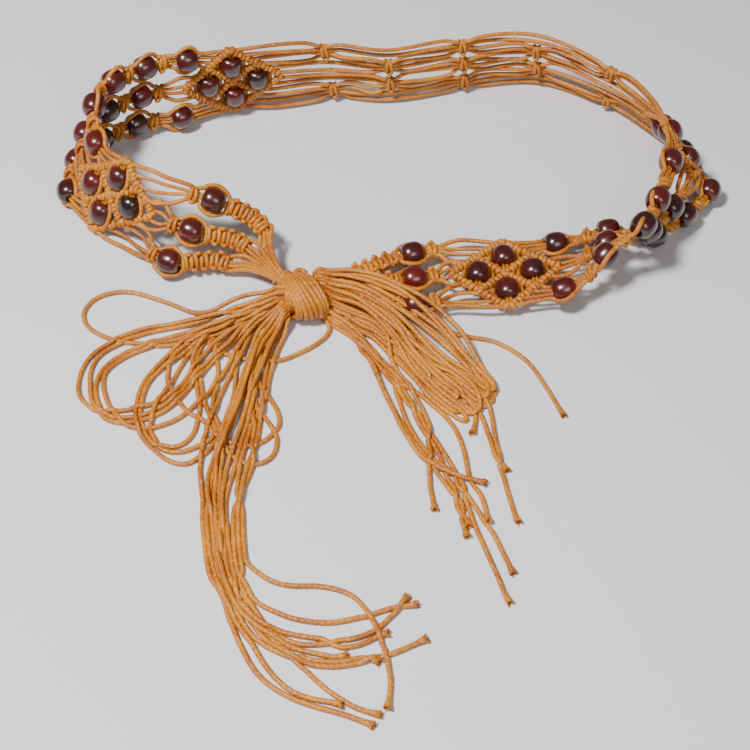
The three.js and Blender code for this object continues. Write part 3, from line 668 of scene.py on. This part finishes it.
def lay_chain(name, from_middle, to_middle):
    """One panel from lattice to lattice: five beads in the outer rows, three in the middle one."""
    tubes, seats = Tubes(), []
    start, end = from_middle + HALF_LENGTH, to_middle - HALF_LENGTH
    pitch = (end - start) / PANEL_STEPS
    centre = (start + end) / 2
    columns = [centre - pitch, centre, centre + pitch]
    knots = [centre + step * pitch for step in (-1.5, -0.5, 0.5, 1.5)]
    for row, v in enumerate(ROWS):
        beads = columns if row == 1 else [start, *columns, end]
        seats += [(u, v, False) for u in beads]
        heights = sinnet_group(v)
        for i in range(4):
            height = rest[row * 4 + i]
            first, last = bar_point(from_middle, height, 1), bar_point(to_middle, height, -1)
            sign = -1 if i < 2 else 1
            points = [first]
            stops = sorted([(u, "bead") for u in beads] + [(u, "knot") for u in knots])
            if i in (1, 2):
                for u, kind in stops:
                    points.append((u, v + (i - 1.5) * BORE_PAIR if kind == "bead" else heights[i], 0.0))
                lay(tubes, points + [last], CORD / 2 * SQUEEZED)
                continue
            if row == 1:
                points.append(((first[0] + knots[0]) / 2, height * 1.1, rng.uniform(-0.8, 0.8)))
            for u, kind in stops:
                if kind == "bead":
                    points += frame_points(u, v, sign, 1)
                else:
                    points += square_knot(u, v)[0 if i == 0 else 1]
            if row == 1:
                points.append(((last[0] + knots[-1]) / 2, height * 1.1, rng.uniform(-0.8, 0.8)))
            lay(tubes, points + [last])
    finished(tubes.mesh_object(name, waxed_cord), "cord", name)
    finished(bead_mesh(name + "_beads", seats, lacquered_wood), "bead")


lay_chain("chain_left", lattices["front_left"], lattices["back_left"])
lay_chain("chain_right", lattices["back_right"], lattices["front_right"])


# The back of the band: the twelve cords run on between two lattices, tied in fours by square knots in
# alternating groups, and sag a little between them.
KNOT_GROUPS = (
    ((0, 3), (8, 11)),
    ((2, 5), (6, 9)),
    ((0, 3), (4, 7), (8, 11)),
    ((2, 5), (6, 9)),
    ((0, 3), (8, 11)),
)
FLARE = 8.5  # from a knot's middle to where its cords stand apart again
TIED_PAIR = 2.6  # from one to the other of the two cords inside a knot
tubes = Tubes()
columns = [U[f"back {i + 1}"] for i in range(5)]
for i in range(CORDS):
    first, last = bar_point(lattices["back_left"], rest[i], 1), bar_point(lattices["back_right"], rest[i], -1)
    points = [first]
    for u, groups in zip(columns, KNOT_GROUPS):
        group = next((g for g in groups if g[0] <= i <= g[1]), None)
        if group is None:
            points.append((u, rest[i] + rng.uniform(-0.9, 0.9), rng.uniform(-1.6, 1.6)))
            continue
        v = (rest[group[0]] + rest[group[1]]) / 2
        order = i - group[0]
        swell = 1 + 0.1 * abs(2 * order - 3) / 3
        height = v + (rest[i] - v) * swell
        apart = [
            (u + side * FLARE, height + rng.uniform(-0.6, 0.6), rng.uniform(-1.2, 1.2))
            for side in (-1, 1)
        ]
        if order in (1, 2):
            core = v + (order - 1.5) * TIED_PAIR
            tied = [(u - 3.5, core, 0), (u + 3.5, core, 0)]
        else:
            tied = square_knot(u, v, reach=4.4)[0 if order == 0 else 1]
        points += [apart[0], *tied, apart[1]]
    lay(tubes, points + [last])
finished(tubes.mesh_object("back_net", waxed_cord), "cord", "back_net")


# The wrapped knot: eight turns of one cord round both bundles, pressed flat underneath by its own weight,
# the end of the wrapping cord tucked over the top. The turns slant and aren't quite even.
WRAP_LENGTH, WRAP_WIDTH, WRAP_HEIGHT, WRAP_TURNS = 19.0, 27.0, 18.4, 8
WRAP_RINGS = 34  # of the mesh, in a turn
CORE_RADIUS = 7.4
wrap_angle = math.radians(12)
tubes = Tubes()
turns = np.linspace(0, WRAP_TURNS * 2 * math.pi, WRAP_TURNS * WRAP_RINGS)
wrap_radius = WRAP_LENGTH / WRAP_TURNS / 2 + 0.06
wrap_along = -WRAP_LENGTH / 2 + wrap_radius + (WRAP_LENGTH - 2 * wrap_radius) * turns / turns[-1]
wrap_swell = 1 - 0.2 * (2 * wrap_along / WRAP_LENGTH) ** 2 + 0.03 * np.sin(turns * 0.37 + 1)
wrap_across = (WRAP_WIDTH / 2 - wrap_radius) * wrap_swell * np.cos(turns)
local = np.stack([
    wrap_along * 0.92 - 0.3 * wrap_across + 0.75 * np.sin(turns * 1.13),
    wrap_across,
    np.maximum(WRAP_HEIGHT / 2 + (WRAP_HEIGHT / 2 - wrap_radius) * wrap_swell * np.sin(turns), wrap_radius),
], axis=1)


def at_knot(points):
    """Points along the knot, across it and up, set in its place."""
    p = np.asarray(points, float)
    return np.stack([
        KNOT_MIDDLE[0] + p[:, 0] * math.cos(wrap_angle) - p[:, 1] * math.sin(wrap_angle),
        KNOT_MIDDLE[1] + p[:, 0] * math.sin(wrap_angle) + p[:, 1] * math.cos(wrap_angle),
        p[:, 2],
    ], axis=1)


tubes.add(at_knot(local), wrap_radius, 10)
for tuck in (
    [(-9.5, 6, 12), (-7.5, 8.5, 15), (-5, 10.5, 15.6), (-3, 11, 13.5)],
    [(-2, 10.5, 12.5), (0, 12.5, 13.5), (2.5, 12.8, 13), (4.5, 11, 12)],
):
    tubes.add(at_knot(smooth(tuck, 1)), 1.15)
# What the turns are wound on: the bundles themselves, as one thick core that fills the knot.
core = at_knot([(-WRAP_LENGTH / 2 + 1.2, 0, WRAP_HEIGHT / 2), (WRAP_LENGTH / 2 - 1.2, 0, WRAP_HEIGHT / 2)])
tubes.add(even(core, 2), CORE_RADIUS, 12)
finished(tubes.mesh_object("wrapped_knot_cord", waxed_cord), "cord", "wrapped_knot")


# The bow and its tails: free cords that leave the wrapped knot, lie on the table and over each other, and
# end cut and flared. A route's points are (x, y) in the picture and, off the table, the height in millimetres.
LOOPS_LEFT = [
    [(286, 288, 15), (262, 285, 16), (246, 286, 16), (228, 293, 14), (206, 305, 9), (164, 299, 3),
     (129, 292), (107, 294), (92, 301), (83, 314), (86, 325), (96, 333), (113, 340), (132, 343),
     (152, 344, 2), (173, 341, 4), (202, 331, 7), (217, 323, 9), (245, 308, 11), (284, 298, 10)],
    [(286, 290, 14), (253, 298, 14), (230, 303, 13), (202, 310, 10), (164, 318, 6), (134, 327, 4),
     (110, 340, 3), (92, 355), (82, 370), (78, 386), (80, 398), (89, 406), (105, 411, 2), (126, 409, 2),
     (146, 403, 3), (165, 395, 3), (179, 383, 4), (192, 364, 5), (206, 343, 7), (228, 323, 9),
     (261, 304, 10), (286, 296, 9)],
    [(285, 292, 15), (255, 296, 15), (230, 302, 13), (202, 312, 9), (171, 321, 6), (142, 330, 4),
     (118, 343, 2), (99, 356), (91, 370), (90, 386), (93, 401, 2), (102, 411, 3), (114, 417), (132, 417),
     (152, 411), (171, 399, 2), (186, 382, 4), (202, 364, 5), (224, 340, 8), (246, 317, 10), (274, 299, 11),
     (287, 294, 10)],
    [(285, 294, 13), (250, 303, 13), (217, 315, 10), (187, 324, 7), (152, 339, 4), (129, 349, 3),
     (108, 365), (98, 377), (95, 392), (98, 408, 2), (108, 420), (124, 424), (146, 420), (170, 406, 2),
     (184, 390, 3), (196, 373, 4), (217, 348, 7), (239, 326, 9), (265, 305, 11), (287, 298, 11)],
    [(285, 296, 12), (250, 306, 12), (220, 317, 10), (190, 328, 7), (155, 342, 3), (130, 354), (112, 365),
     (105, 372), (103, 384), (107, 401), (114, 414, 2), (126, 424, 2), (140, 428), (156, 427), (176, 420),
     (193, 408), (209, 390, 3), (225, 364, 5), (240, 335, 8), (253, 316, 10), (275, 303, 11),
     (288, 300, 11)],
    [(286, 298, 11), (250, 309, 11), (217, 320, 9), (190, 332, 6), (167, 352, 4), (152, 370, 2), (142, 387),
     (137, 405, 2), (137, 423, 2), (142, 436), (154, 450), (170, 462), (184, 465), (199, 459), (211, 447),
     (221, 436), (232, 415, 2), (243, 390, 3), (255, 355, 6), (270, 325, 7), (288, 308, 7)],
    [(286, 300, 9), (255, 312, 9), (215, 325, 7), (190, 345, 4), (165, 365, 2), (149, 381), (142, 396),
     (140, 420), (148, 439), (158, 445), (173, 448), (186, 443), (195, 431), (199, 414), (199, 390, 2),
     (196, 373, 3), (193, 352, 4), (200, 335, 6), (230, 318, 8), (287, 303, 8)],
    [(286, 299, 8), (250, 310, 8), (215, 323, 6), (202, 333, 5), (187, 352, 4), (170, 381, 3),
     (158, 399, 3), (152, 411, 3), (151, 423), (152, 436), (160, 448), (173, 453), (190, 450), (206, 442),
     (217, 431), (209, 414), (202, 396), (197, 373), (196, 352, 3), (210, 330, 5), (240, 315, 7),
     (288, 304, 7)],
    [(286, 301, 7), (240, 318, 7), (205, 330, 5), (180, 345, 2), (173, 355), (167, 373), (170, 387),
     (179, 402), (187, 412), (199, 418), (211, 428), (222, 437), (235, 445), (255, 445), (268, 439),
     (277, 430), (280, 420), (275, 406), (267, 396), (258, 380, 2), (258, 355, 4), (270, 330, 6),
     (288, 312, 6)],
    [(288, 314, 5), (270, 335, 4), (255, 365, 3), (252, 395, 2), (261, 414), (272, 427), (277, 442),
     (274, 455), (264, 463), (252, 465), (236, 460), (222, 445), (216, 425), (213, 400), (219, 372),
     (214, 352, 2), (225, 330, 5), (287, 305, 6)],
    [(318, 308, 6), (331, 322, 4), (327, 333, 3), (316, 344, 1.5), (300, 353), (283, 360), (269, 362),
     (250, 360), (231, 356), (214, 350), (207, 337, 3), (240, 316, 6), (288, 306, 5)],
]
TAILS_LEFT = [
    [(290, 317, 5), (279, 333, 6), (270, 348, 6), (266, 364, 5), (264, 381, 4), (264, 399, 3),
     (257, 420, 2), (251, 442, 2), (249, 465, 2), (247, 488), (245, 527), (244, 548), (245, 562),
     (256, 571), (270, 581), (290, 586), (316, 586), (339, 590), (356, 598), (367, 610, 3), (376, 625, 3),
     (382, 641, 3), (387, 659, 2), (391, 681), (389, 701), (387, 711)],
    [(289, 313, 7), (276, 329, 8), (264, 348, 8), (257, 366, 6), (252, 387, 5), (247, 420, 3),
     (243, 450, 3), (238, 480, 2), (234, 510), (234, 540), (238, 570), (246, 591), (260, 605), (273, 611),
     (290, 618), (311, 622), (331, 623), (349, 620), (369, 615), (389, 609), (404, 606), (415, 605)],
    [(288, 310, 8), (272, 326, 9), (260, 345, 8), (252, 365, 7), (246, 387, 5), (242, 415, 4),
     (238, 445, 3), (232, 475, 3), (227, 505, 2), (225, 535, 2), (226, 563), (230, 578), (238, 591),
     (253, 612), (268, 630), (290, 643), (313, 645), (339, 641), (357, 638), (376, 630), (386, 620, 2),
     (397, 608, 3), (406, 597, 2)],
    [(287, 308, 9), (270, 321, 10), (256, 340, 9), (248, 362, 7), (242, 385, 6), (236, 412, 5),
     (231, 440, 4), (226, 470, 3), (221, 505, 3), (220, 540, 3), (222, 565, 2), (232, 590, 3),
     (246, 610, 3), (263, 626, 2), (283, 633), (306, 637), (328, 641), (339, 648), (356, 646), (372, 640),
     (381, 635), (390, 633)],
    [(286, 306, 10), (267, 318, 10), (253, 335, 9), (244, 355, 8), (238, 380, 6), (233, 408, 5),
     (227, 435, 4), (221, 465, 3), (217, 500, 2), (217, 535, 2), (220, 560, 3), (228, 585, 4),
     (240, 606, 4), (255, 622, 3), (270, 634, 3), (296, 648, 2), (319, 654), (339, 659), (350, 659)],
    [(285, 304, 10), (264, 315, 10), (250, 330, 9), (241, 350, 7), (234, 375, 5), (229, 400, 5),
     (224, 430, 4), (218, 460, 3), (213, 495, 2), (213, 540), (218, 573), (230, 598), (238, 620),
     (253, 638), (276, 650), (296, 658), (316, 663), (339, 663), (356, 659), (372, 659), (382, 663)],
    [(287, 311, 6), (274, 322, 6), (262, 340, 6), (252, 360, 5), (244, 390, 4), (240, 420, 3),
     (235, 450, 2), (231, 480), (228, 510), (228, 540), (230, 565), (236, 590, 2), (250, 615, 2),
     (270, 640, 2), (300, 659, 2), (330, 665), (348, 663), (364, 659, 2), (389, 655), (411, 646),
     (429, 638)],
    [(284, 302, 9), (262, 312, 9), (247, 327, 8), (238, 348, 6), (231, 372, 5), (226, 395, 4),
     (220, 420, 4), (213, 450, 2), (209, 490, 2), (209, 540), (215, 576), (228, 606, 2), (241, 626),
     (253, 645), (263, 663), (280, 683), (296, 694), (316, 700), (328, 702), (340, 703)],
    [(289, 315, 4), (277, 330, 5), (265, 350, 5), (258, 372, 4), (254, 395, 3), (250, 425, 2), (245, 460),
     (241, 500), (240, 530), (240, 555), (240, 580), (246, 605), (262, 630), (280, 647), (298, 662),
     (313, 678), (331, 693), (346, 701, 3), (364, 711), (383, 716)],
    [(285, 301, 8), (260, 310, 8), (246, 325, 6), (236, 350, 5), (228, 378, 3), (221, 405, 3), (214, 440),
     (207, 480), (206, 530), (212, 570), (223, 596), (230, 613), (233, 628), (243, 651), (256, 673),
     (273, 688), (293, 699), (316, 707), (339, 713), (356, 719), (371, 725)],
]
LOOPS_RIGHT = [
    [(314, 274, 16), (322, 267, 20), (336, 262, 23), (351, 262, 24), (367, 266, 24), (386, 274, 22),
     (406, 283, 21), (427, 296, 19), (446, 312, 17), (461, 327, 14), (475, 348, 11), (489, 369, 7),
     (497, 385, 3), (494, 390), (483, 383, 2), (465, 368, 4), (440, 345, 6), (410, 318, 8), (375, 296, 9),
     (314, 290, 8)],
    [(314, 276, 15), (324, 271, 19), (340, 267, 21), (358, 270, 22), (378, 277, 21), (400, 288, 19),
     (420, 301, 18), (438, 316, 16), (455, 335, 13), (470, 355, 9), (483, 374, 5), (492, 388, 2),
     (490, 401), (480, 396), (460, 378, 3), (433, 353, 5), (405, 328, 7), (370, 305, 8), (314, 294, 8)],
    [(314, 278, 15), (326, 275, 18), (345, 273, 20), (365, 279, 20), (388, 290, 19), (408, 303, 17),
     (425, 318, 15), (442, 335, 12), (458, 353, 9), (473, 372, 5), (484, 388, 2), (490, 402), (484, 408),
     (468, 394, 2), (442, 370, 4), (412, 344, 6), (376, 315, 7), (314, 297, 8)],
    [(314, 280, 14), (328, 279, 17), (350, 280, 19), (372, 289, 18), (392, 301, 17), (410, 315, 15),
     (427, 332, 12), (443, 350, 9), (457, 365, 7), (470, 378, 5), (478, 393, 2), (480, 408), (472, 417),
     (458, 410), (436, 390, 3), (405, 357, 5), (370, 325, 7), (314, 300, 7)],
    [(314, 283, 13), (332, 283, 16), (354, 287, 17), (376, 298, 16), (396, 313, 14), (413, 331, 12),
     (429, 349, 9), (445, 366, 6), (459, 379, 4), (468, 389, 2), (466, 396), (452, 391), (430, 376, 3),
     (403, 350, 5), (372, 322, 6), (314, 302, 6)],
    [(314, 286, 12), (334, 287, 14), (356, 293, 15), (377, 306, 14), (396, 323, 12), (413, 343, 9),
     (430, 362, 6), (446, 378, 4), (460, 390, 2), (463, 400), (450, 398), (427, 383, 2), (398, 354, 4),
     (367, 325, 6), (314, 304, 6)],
    [(314, 289, 11), (335, 292, 13), (355, 299, 13), (374, 314, 12), (391, 333, 10), (408, 354, 8),
     (425, 373, 5), (442, 390, 3), (459, 404, 2), (472, 415), (468, 420), (450, 411), (425, 392, 2),
     (395, 360, 4), (365, 330, 5), (314, 306, 5)],
    [(314, 275, 14), (326, 270, 17), (343, 266, 19), (362, 269, 20), (382, 279, 19), (403, 292, 17),
     (423, 308, 15), (441, 325, 13), (457, 345, 10), (472, 365, 7), (486, 384, 3), (492, 398), (487, 404),
     (470, 388, 2), (446, 366, 4), (415, 338, 6), (378, 310, 7), (314, 298, 7)],
]
TAILS_RIGHT = [
    [(314, 296, 12), (338, 300, 12), (365, 312, 10), (387, 331, 8), (392, 355, 7), (406, 375, 6),
     (417, 393, 5), (427, 415, 4), (429, 436, 3), (430, 461, 3), (430, 485, 2), (433, 501), (435, 512)],
    [(314, 300, 10), (345, 317, 9), (367, 338, 7), (393, 372, 5), (412, 401, 4), (422, 424, 3),
     (437, 449, 2), (446, 473, 2), (453, 488, 2), (459, 503), (463, 517), (467, 526)],
    [(314, 308, 5), (331, 319, 4), (350, 332, 3), (362, 343, 3), (370, 358, 3), (379, 379, 2),
     (387, 398, 2), (400, 422), (413, 443), (427, 457), (439, 476), (448, 486), (457, 498), (463, 517),
     (466, 531), (467, 539)],
    [(314, 305, 7), (337, 315, 6), (356, 330, 6), (374, 348, 5), (394, 372, 4), (398, 393, 3),
     (406, 418, 2), (420, 444, 2), (436, 462, 2), (452, 470, 2), (460, 481), (466, 498), (473, 521),
     (482, 542), (492, 564), (500, 582), (505, 595), (509, 602)],
    [(314, 303, 8), (340, 318, 7), (365, 343, 6), (390, 372, 5), (404, 393, 4), (417, 410, 3),
     (430, 431, 3), (448, 456, 3), (457, 478, 2), (465, 494), (474, 505), (482, 517), (492, 531),
     (500, 547), (508, 563), (514, 576)],
    [(314, 301, 9), (345, 320, 8), (375, 350, 7), (400, 376, 6), (420, 389, 5), (436, 403, 4),
     (451, 420, 3), (460, 437, 2), (465, 453, 2), (468, 470, 2), (471, 482), (480, 493), (485, 506),
     (487, 517, 2), (487, 524, 2)],
    [(314, 298, 8), (336, 302, 8), (350, 319, 7), (362, 341, 6), (374, 363, 5), (384, 389, 4),
     (396, 413, 3), (410, 437, 3), (427, 457, 4), (440, 465, 4), (449, 469, 4), (457, 473, 4),
     (469, 478, 3), (483, 480, 3)],
    [(314, 292, 10), (370, 312, 9), (410, 345, 7), (445, 380, 4), (468, 400, 2), (480, 413), (487, 431),
     (496, 455), (505, 470)],
    [(314, 288, 10), (370, 300, 10), (415, 335, 8), (455, 372, 5), (480, 395, 2), (490, 410), (494, 431),
     (499, 458, 1.5), (504, 478), (508, 493), (513, 509), (517, 521)],
    [(314, 293, 9), (372, 316, 8), (408, 352, 6), (440, 384, 4), (462, 402, 2), (474, 412), (476, 420),
     (473, 432)],
    [(314, 279, 12), (350, 276, 15), (390, 290, 14), (430, 313, 10), (455, 328, 5), (468, 335, 2.5),
     (492, 341), (513, 351), (529, 363), (542, 381), (553, 398), (560, 410), (565, 418)],
]


# Free cords are laid out and settled with a point every ROUTE_STEP, and drawn with a ring every FREE_STEP.
ROUTE_STEP, FREE_STEP = 1.9, 1.2
# What each round of settling does, in millimetres or shares: a cord sinks, is drawn to its route, is smoothed
# and brought back to its length, and no push moves it further than the last value.
SINK, HOMING, EASING, MENDING, PUSH = 0.12, 0.12, 0.12, 0.3, 0.8
RETURNED = 40  # a route whose ends are nearer than this is a loop of the bow, back at the knot


def settle(lines, radius, rounds):
    """Free cords find their places: not through each other or the table, and with their lengths kept."""
    sizes = [len(x) for x in lines]
    owner = np.repeat(np.arange(len(lines)), sizes)
    number = np.concatenate([np.arange(n) for n in sizes])
    point = np.vstack(lines)
    home = point.copy()
    lengths = [np.linalg.norm(np.diff(x, axis=0), axis=1) for x in lines]
    starts = np.concatenate([[0], np.cumsum(sizes)])
    # The knot holds a cord's first points, and a loop's last ones too.
    held = np.zeros(len(point), bool)
    for k, line in enumerate(lines):
        held[starts[k]:starts[k] + 3] = True
        if np.linalg.norm(line[0][:2] - line[-1][:2]) < RETURNED:
            held[starts[k + 1] - 3:starts[k + 1]] = True
    near = 2 * radius
    for _ in range(rounds):
        point[~held, 2] -= SINK
        point[:, :2] += (home[:, :2] - point[:, :2]) * HOMING
        tree = kdtree.KDTree(len(point))
        for i, p in enumerate(point):
            tree.insert(p, i)
        tree.balance()
        # Points nearer than a cord's thickness push each other away, but not neighbours along one cord.
        push = np.zeros_like(point)
        for i, p in enumerate(point):
            for q, j, gap in tree.find_range(p, near):
                if j <= i or gap < 1e-6 or (owner[i] == owner[j] and abs(number[i] - number[j]) < 6):
                    continue
                away = (p - np.array(q)) / gap * (near - gap) * 0.5
                push[i] += away
                push[j] -= away
        push[held] = 0
        point += np.clip(push, -PUSH, PUSH)
        for k, wanted in enumerate(lengths):
            line = point[starts[k]:starts[k + 1]]
            line[1:-1] += (line[:-2] + line[2:] - 2 * line[1:-1]) * EASING
            step = np.diff(line, axis=0)
            size = np.linalg.norm(step, axis=1)
            fix = step * ((size - wanted) / size * MENDING)[:, None]
            line[:-1] += fix
            line[1:] -= fix
        point[held] = home[held]
        point[:, 2] = np.maximum(point[:, 2], radius)
    return [point[starts[k]:starts[k + 1]] for k in range(len(lines))]


def fold_between(routes, points=24, lower=1.6):
    """A fold under two cords of the right bow, midway between them and a little lower."""
    shares = np.linspace(0, 1, points)
    folds = []
    for route in routes:
        fold = smooth([seen(*p) for p in route], ROUTE_STEP)
        own = np.linspace(0, 1, len(fold))
        folds.append(np.stack([np.interp(shares, own, fold[:, k]) for k in range(3)], axis=1))
    return smooth((folds[0] + folds[1]) / 2 - np.array([0, 0, lower]), ROUTE_STEP)


def wander(name, line):
    """Cords of one bundle hang together but cross each other on their way, each in a wave of its own."""
    share = np.linspace(0, 1, len(line))
    phase, pace = rng.uniform(0, 2 * math.pi), rng.uniform(7, 10)
    if name.startswith("tail_left"):
        window = np.clip(share / 0.14, 0, 1) * np.clip((0.56 - share) / 0.16, 0, 1)
        line[:, 0] += 4.2 * window * np.sin(share * pace + phase)
        line[:, 2] += 1.8 * window * (1 + np.sin(2.3 * phase))
    elif name.startswith("bow_loop_right"):
        window = np.clip(share / 0.15, 0, 1) * np.clip((1 - share) / 0.15, 0, 1)
        line[:, 0] += 1.7 * window * np.sin(share * pace * 1.5 + phase)
        line[:, 1] += 1.7 * window * np.cos(share * pace + phase)
        line[:, 2] += 0.9 * window * (1 + np.sin(2.3 * phase))


routes = [(f"bow_loop_left_{i + 1}", r, "object", "left") for i, r in enumerate(LOOPS_LEFT)]
routes += [(f"tail_left_{i + 1}", r, "bare", "left") for i, r in enumerate(TAILS_LEFT)]
routes += [(f"bow_loop_right_{i + 1}", r, "object", "right") for i, r in enumerate(LOOPS_RIGHT)]
routes += [(f"tail_right_{i + 1}", r, "bare", "right") for i, r in enumerate(TAILS_RIGHT)]
lines = [smooth([seen(*p) for p in route], ROUTE_STEP) for _, route, _, _ in routes]
# Under the right bow's top layer lie more folds of the same cords, each between two that show.
lines += [fold_between(pair) for pair in zip(LOOPS_RIGHT[:6], LOOPS_RIGHT[1:7])]
for number, line in enumerate(lines):
    wander(routes[number][0] if number < len(routes) else "bow_loop_right", line)
lines = settle(lines, CORD / 2, 45)
inner = Tubes()
for line in lines[len(routes):]:
    inner.add(smooth(line[::2], FREE_STEP), CORD / 2)
finished(inner.mesh_object("bow_right_inner", waxed_cord), "cord", "bow_and_tails_right")


# A cut end spreads a little, and its filaments stand out in a short brush.
FLARED, FLARE_LENGTH = 0.4, 4.5  # how much it spreads, and over what length
FILAMENTS = 11


def frayed_end(name, line):
    """The brush of filaments at the end of a cut cord."""
    ahead = line[-1] - line[-3]
    ahead /= np.linalg.norm(ahead)
    across = np.cross(ahead, (0, 0, 1.0))
    brush = Tubes()
    for k in range(FILAMENTS):
        angle = 2 * math.pi * k / FILAMENTS
        out = across * math.cos(angle) + np.cross(across, ahead) * math.sin(angle)
        root = line[-1] - ahead * 0.8 + out * 0.8
        tip = line[-1] + ahead * rng.uniform(0.8, 2.0) + out * rng.uniform(1.0, 1.9)
        tip[2], root[2] = max(tip[2], 0.3), max(root[2], 0.45)
        middle = (root + tip) / 2 + out * 0.12
        middle[2] = max(middle[2], 0.4)
        brush.add([root, middle, tip], [0.45, 0.4, 0.24], 5)
    return finished(brush.mesh_object(name + "_brush", waxed_cord), "cord")


for (name, _, far_end, side), line in zip(routes, lines):
    line = smooth(line[::2], FREE_STEP)
    line[:, 2] = np.maximum(line[:, 2], CORD / 2)
    run = np.concatenate([[0], np.cumsum(np.linalg.norm(np.diff(line, axis=0), axis=1))])
    radii = np.full(len(line), CORD / 2)
    if far_end == "bare":
        radii = radii * (1 + FLARED * np.clip(1 - (run[-1] - run) / FLARE_LENGTH, 0, 1) ** 1.5)
        line[:, 2] = np.maximum(line[:, 2], radii)
        frayed_end(name, line)
    tubes = Tubes()
    tubes.add(line, radii)
    piece = tubes.mesh_object(name, waxed_cord)
    finished(piece, "cord", f"bow_and_tails_{side}")


# A pale table with soft light from above and a little from the left.
def studio():
    """The table, its lamps and the light of the room, none of them part of the belt."""
    mesh = bpy.data.meshes.new("table")
    mesh.from_pydata([(-3, -3, 0), (3, -3, 0), (3, 3, 0), (-3, 3, 0)], [], [(0, 1, 2, 3)])
    table = bpy.data.objects.new("table", mesh)
    bpy.context.scene.collection.objects.link(table)
    top = bpy.data.materials.new("table")
    top.use_nodes = True
    shader = top.node_tree.nodes["Principled BSDF"]
    shader.inputs["Base Color"].default_value = linear("d9d8da")
    shader.inputs["Roughness"].default_value = 0.6
    mesh.materials.append(top)
    for name, place, size, power in (
        ("key", (-0.5, -0.3, 1.15), 0.22, 28.0),
        ("fill", (0.4, -0.9, 0.9), 0.6, 5.0),
    ):
        lamp = bpy.data.objects.new(name, bpy.data.lights.new(name, "AREA"))
        lamp.data.size = size
        lamp.data.energy = power
        lamp.location = place
        lamp.rotation_euler = (-Vector(place)).to_track_quat("-Z", "Y").to_euler()
        bpy.context.scene.collection.objects.link(lamp)
    world = bpy.data.worlds.new("world")
    world.use_nodes = True
    world.node_tree.nodes["Background"].inputs["Color"].default_value = linear("eceef2")
    world.node_tree.nodes["Background"].inputs["Strength"].default_value = 0.2
    bpy.context.scene.world = world


studio()
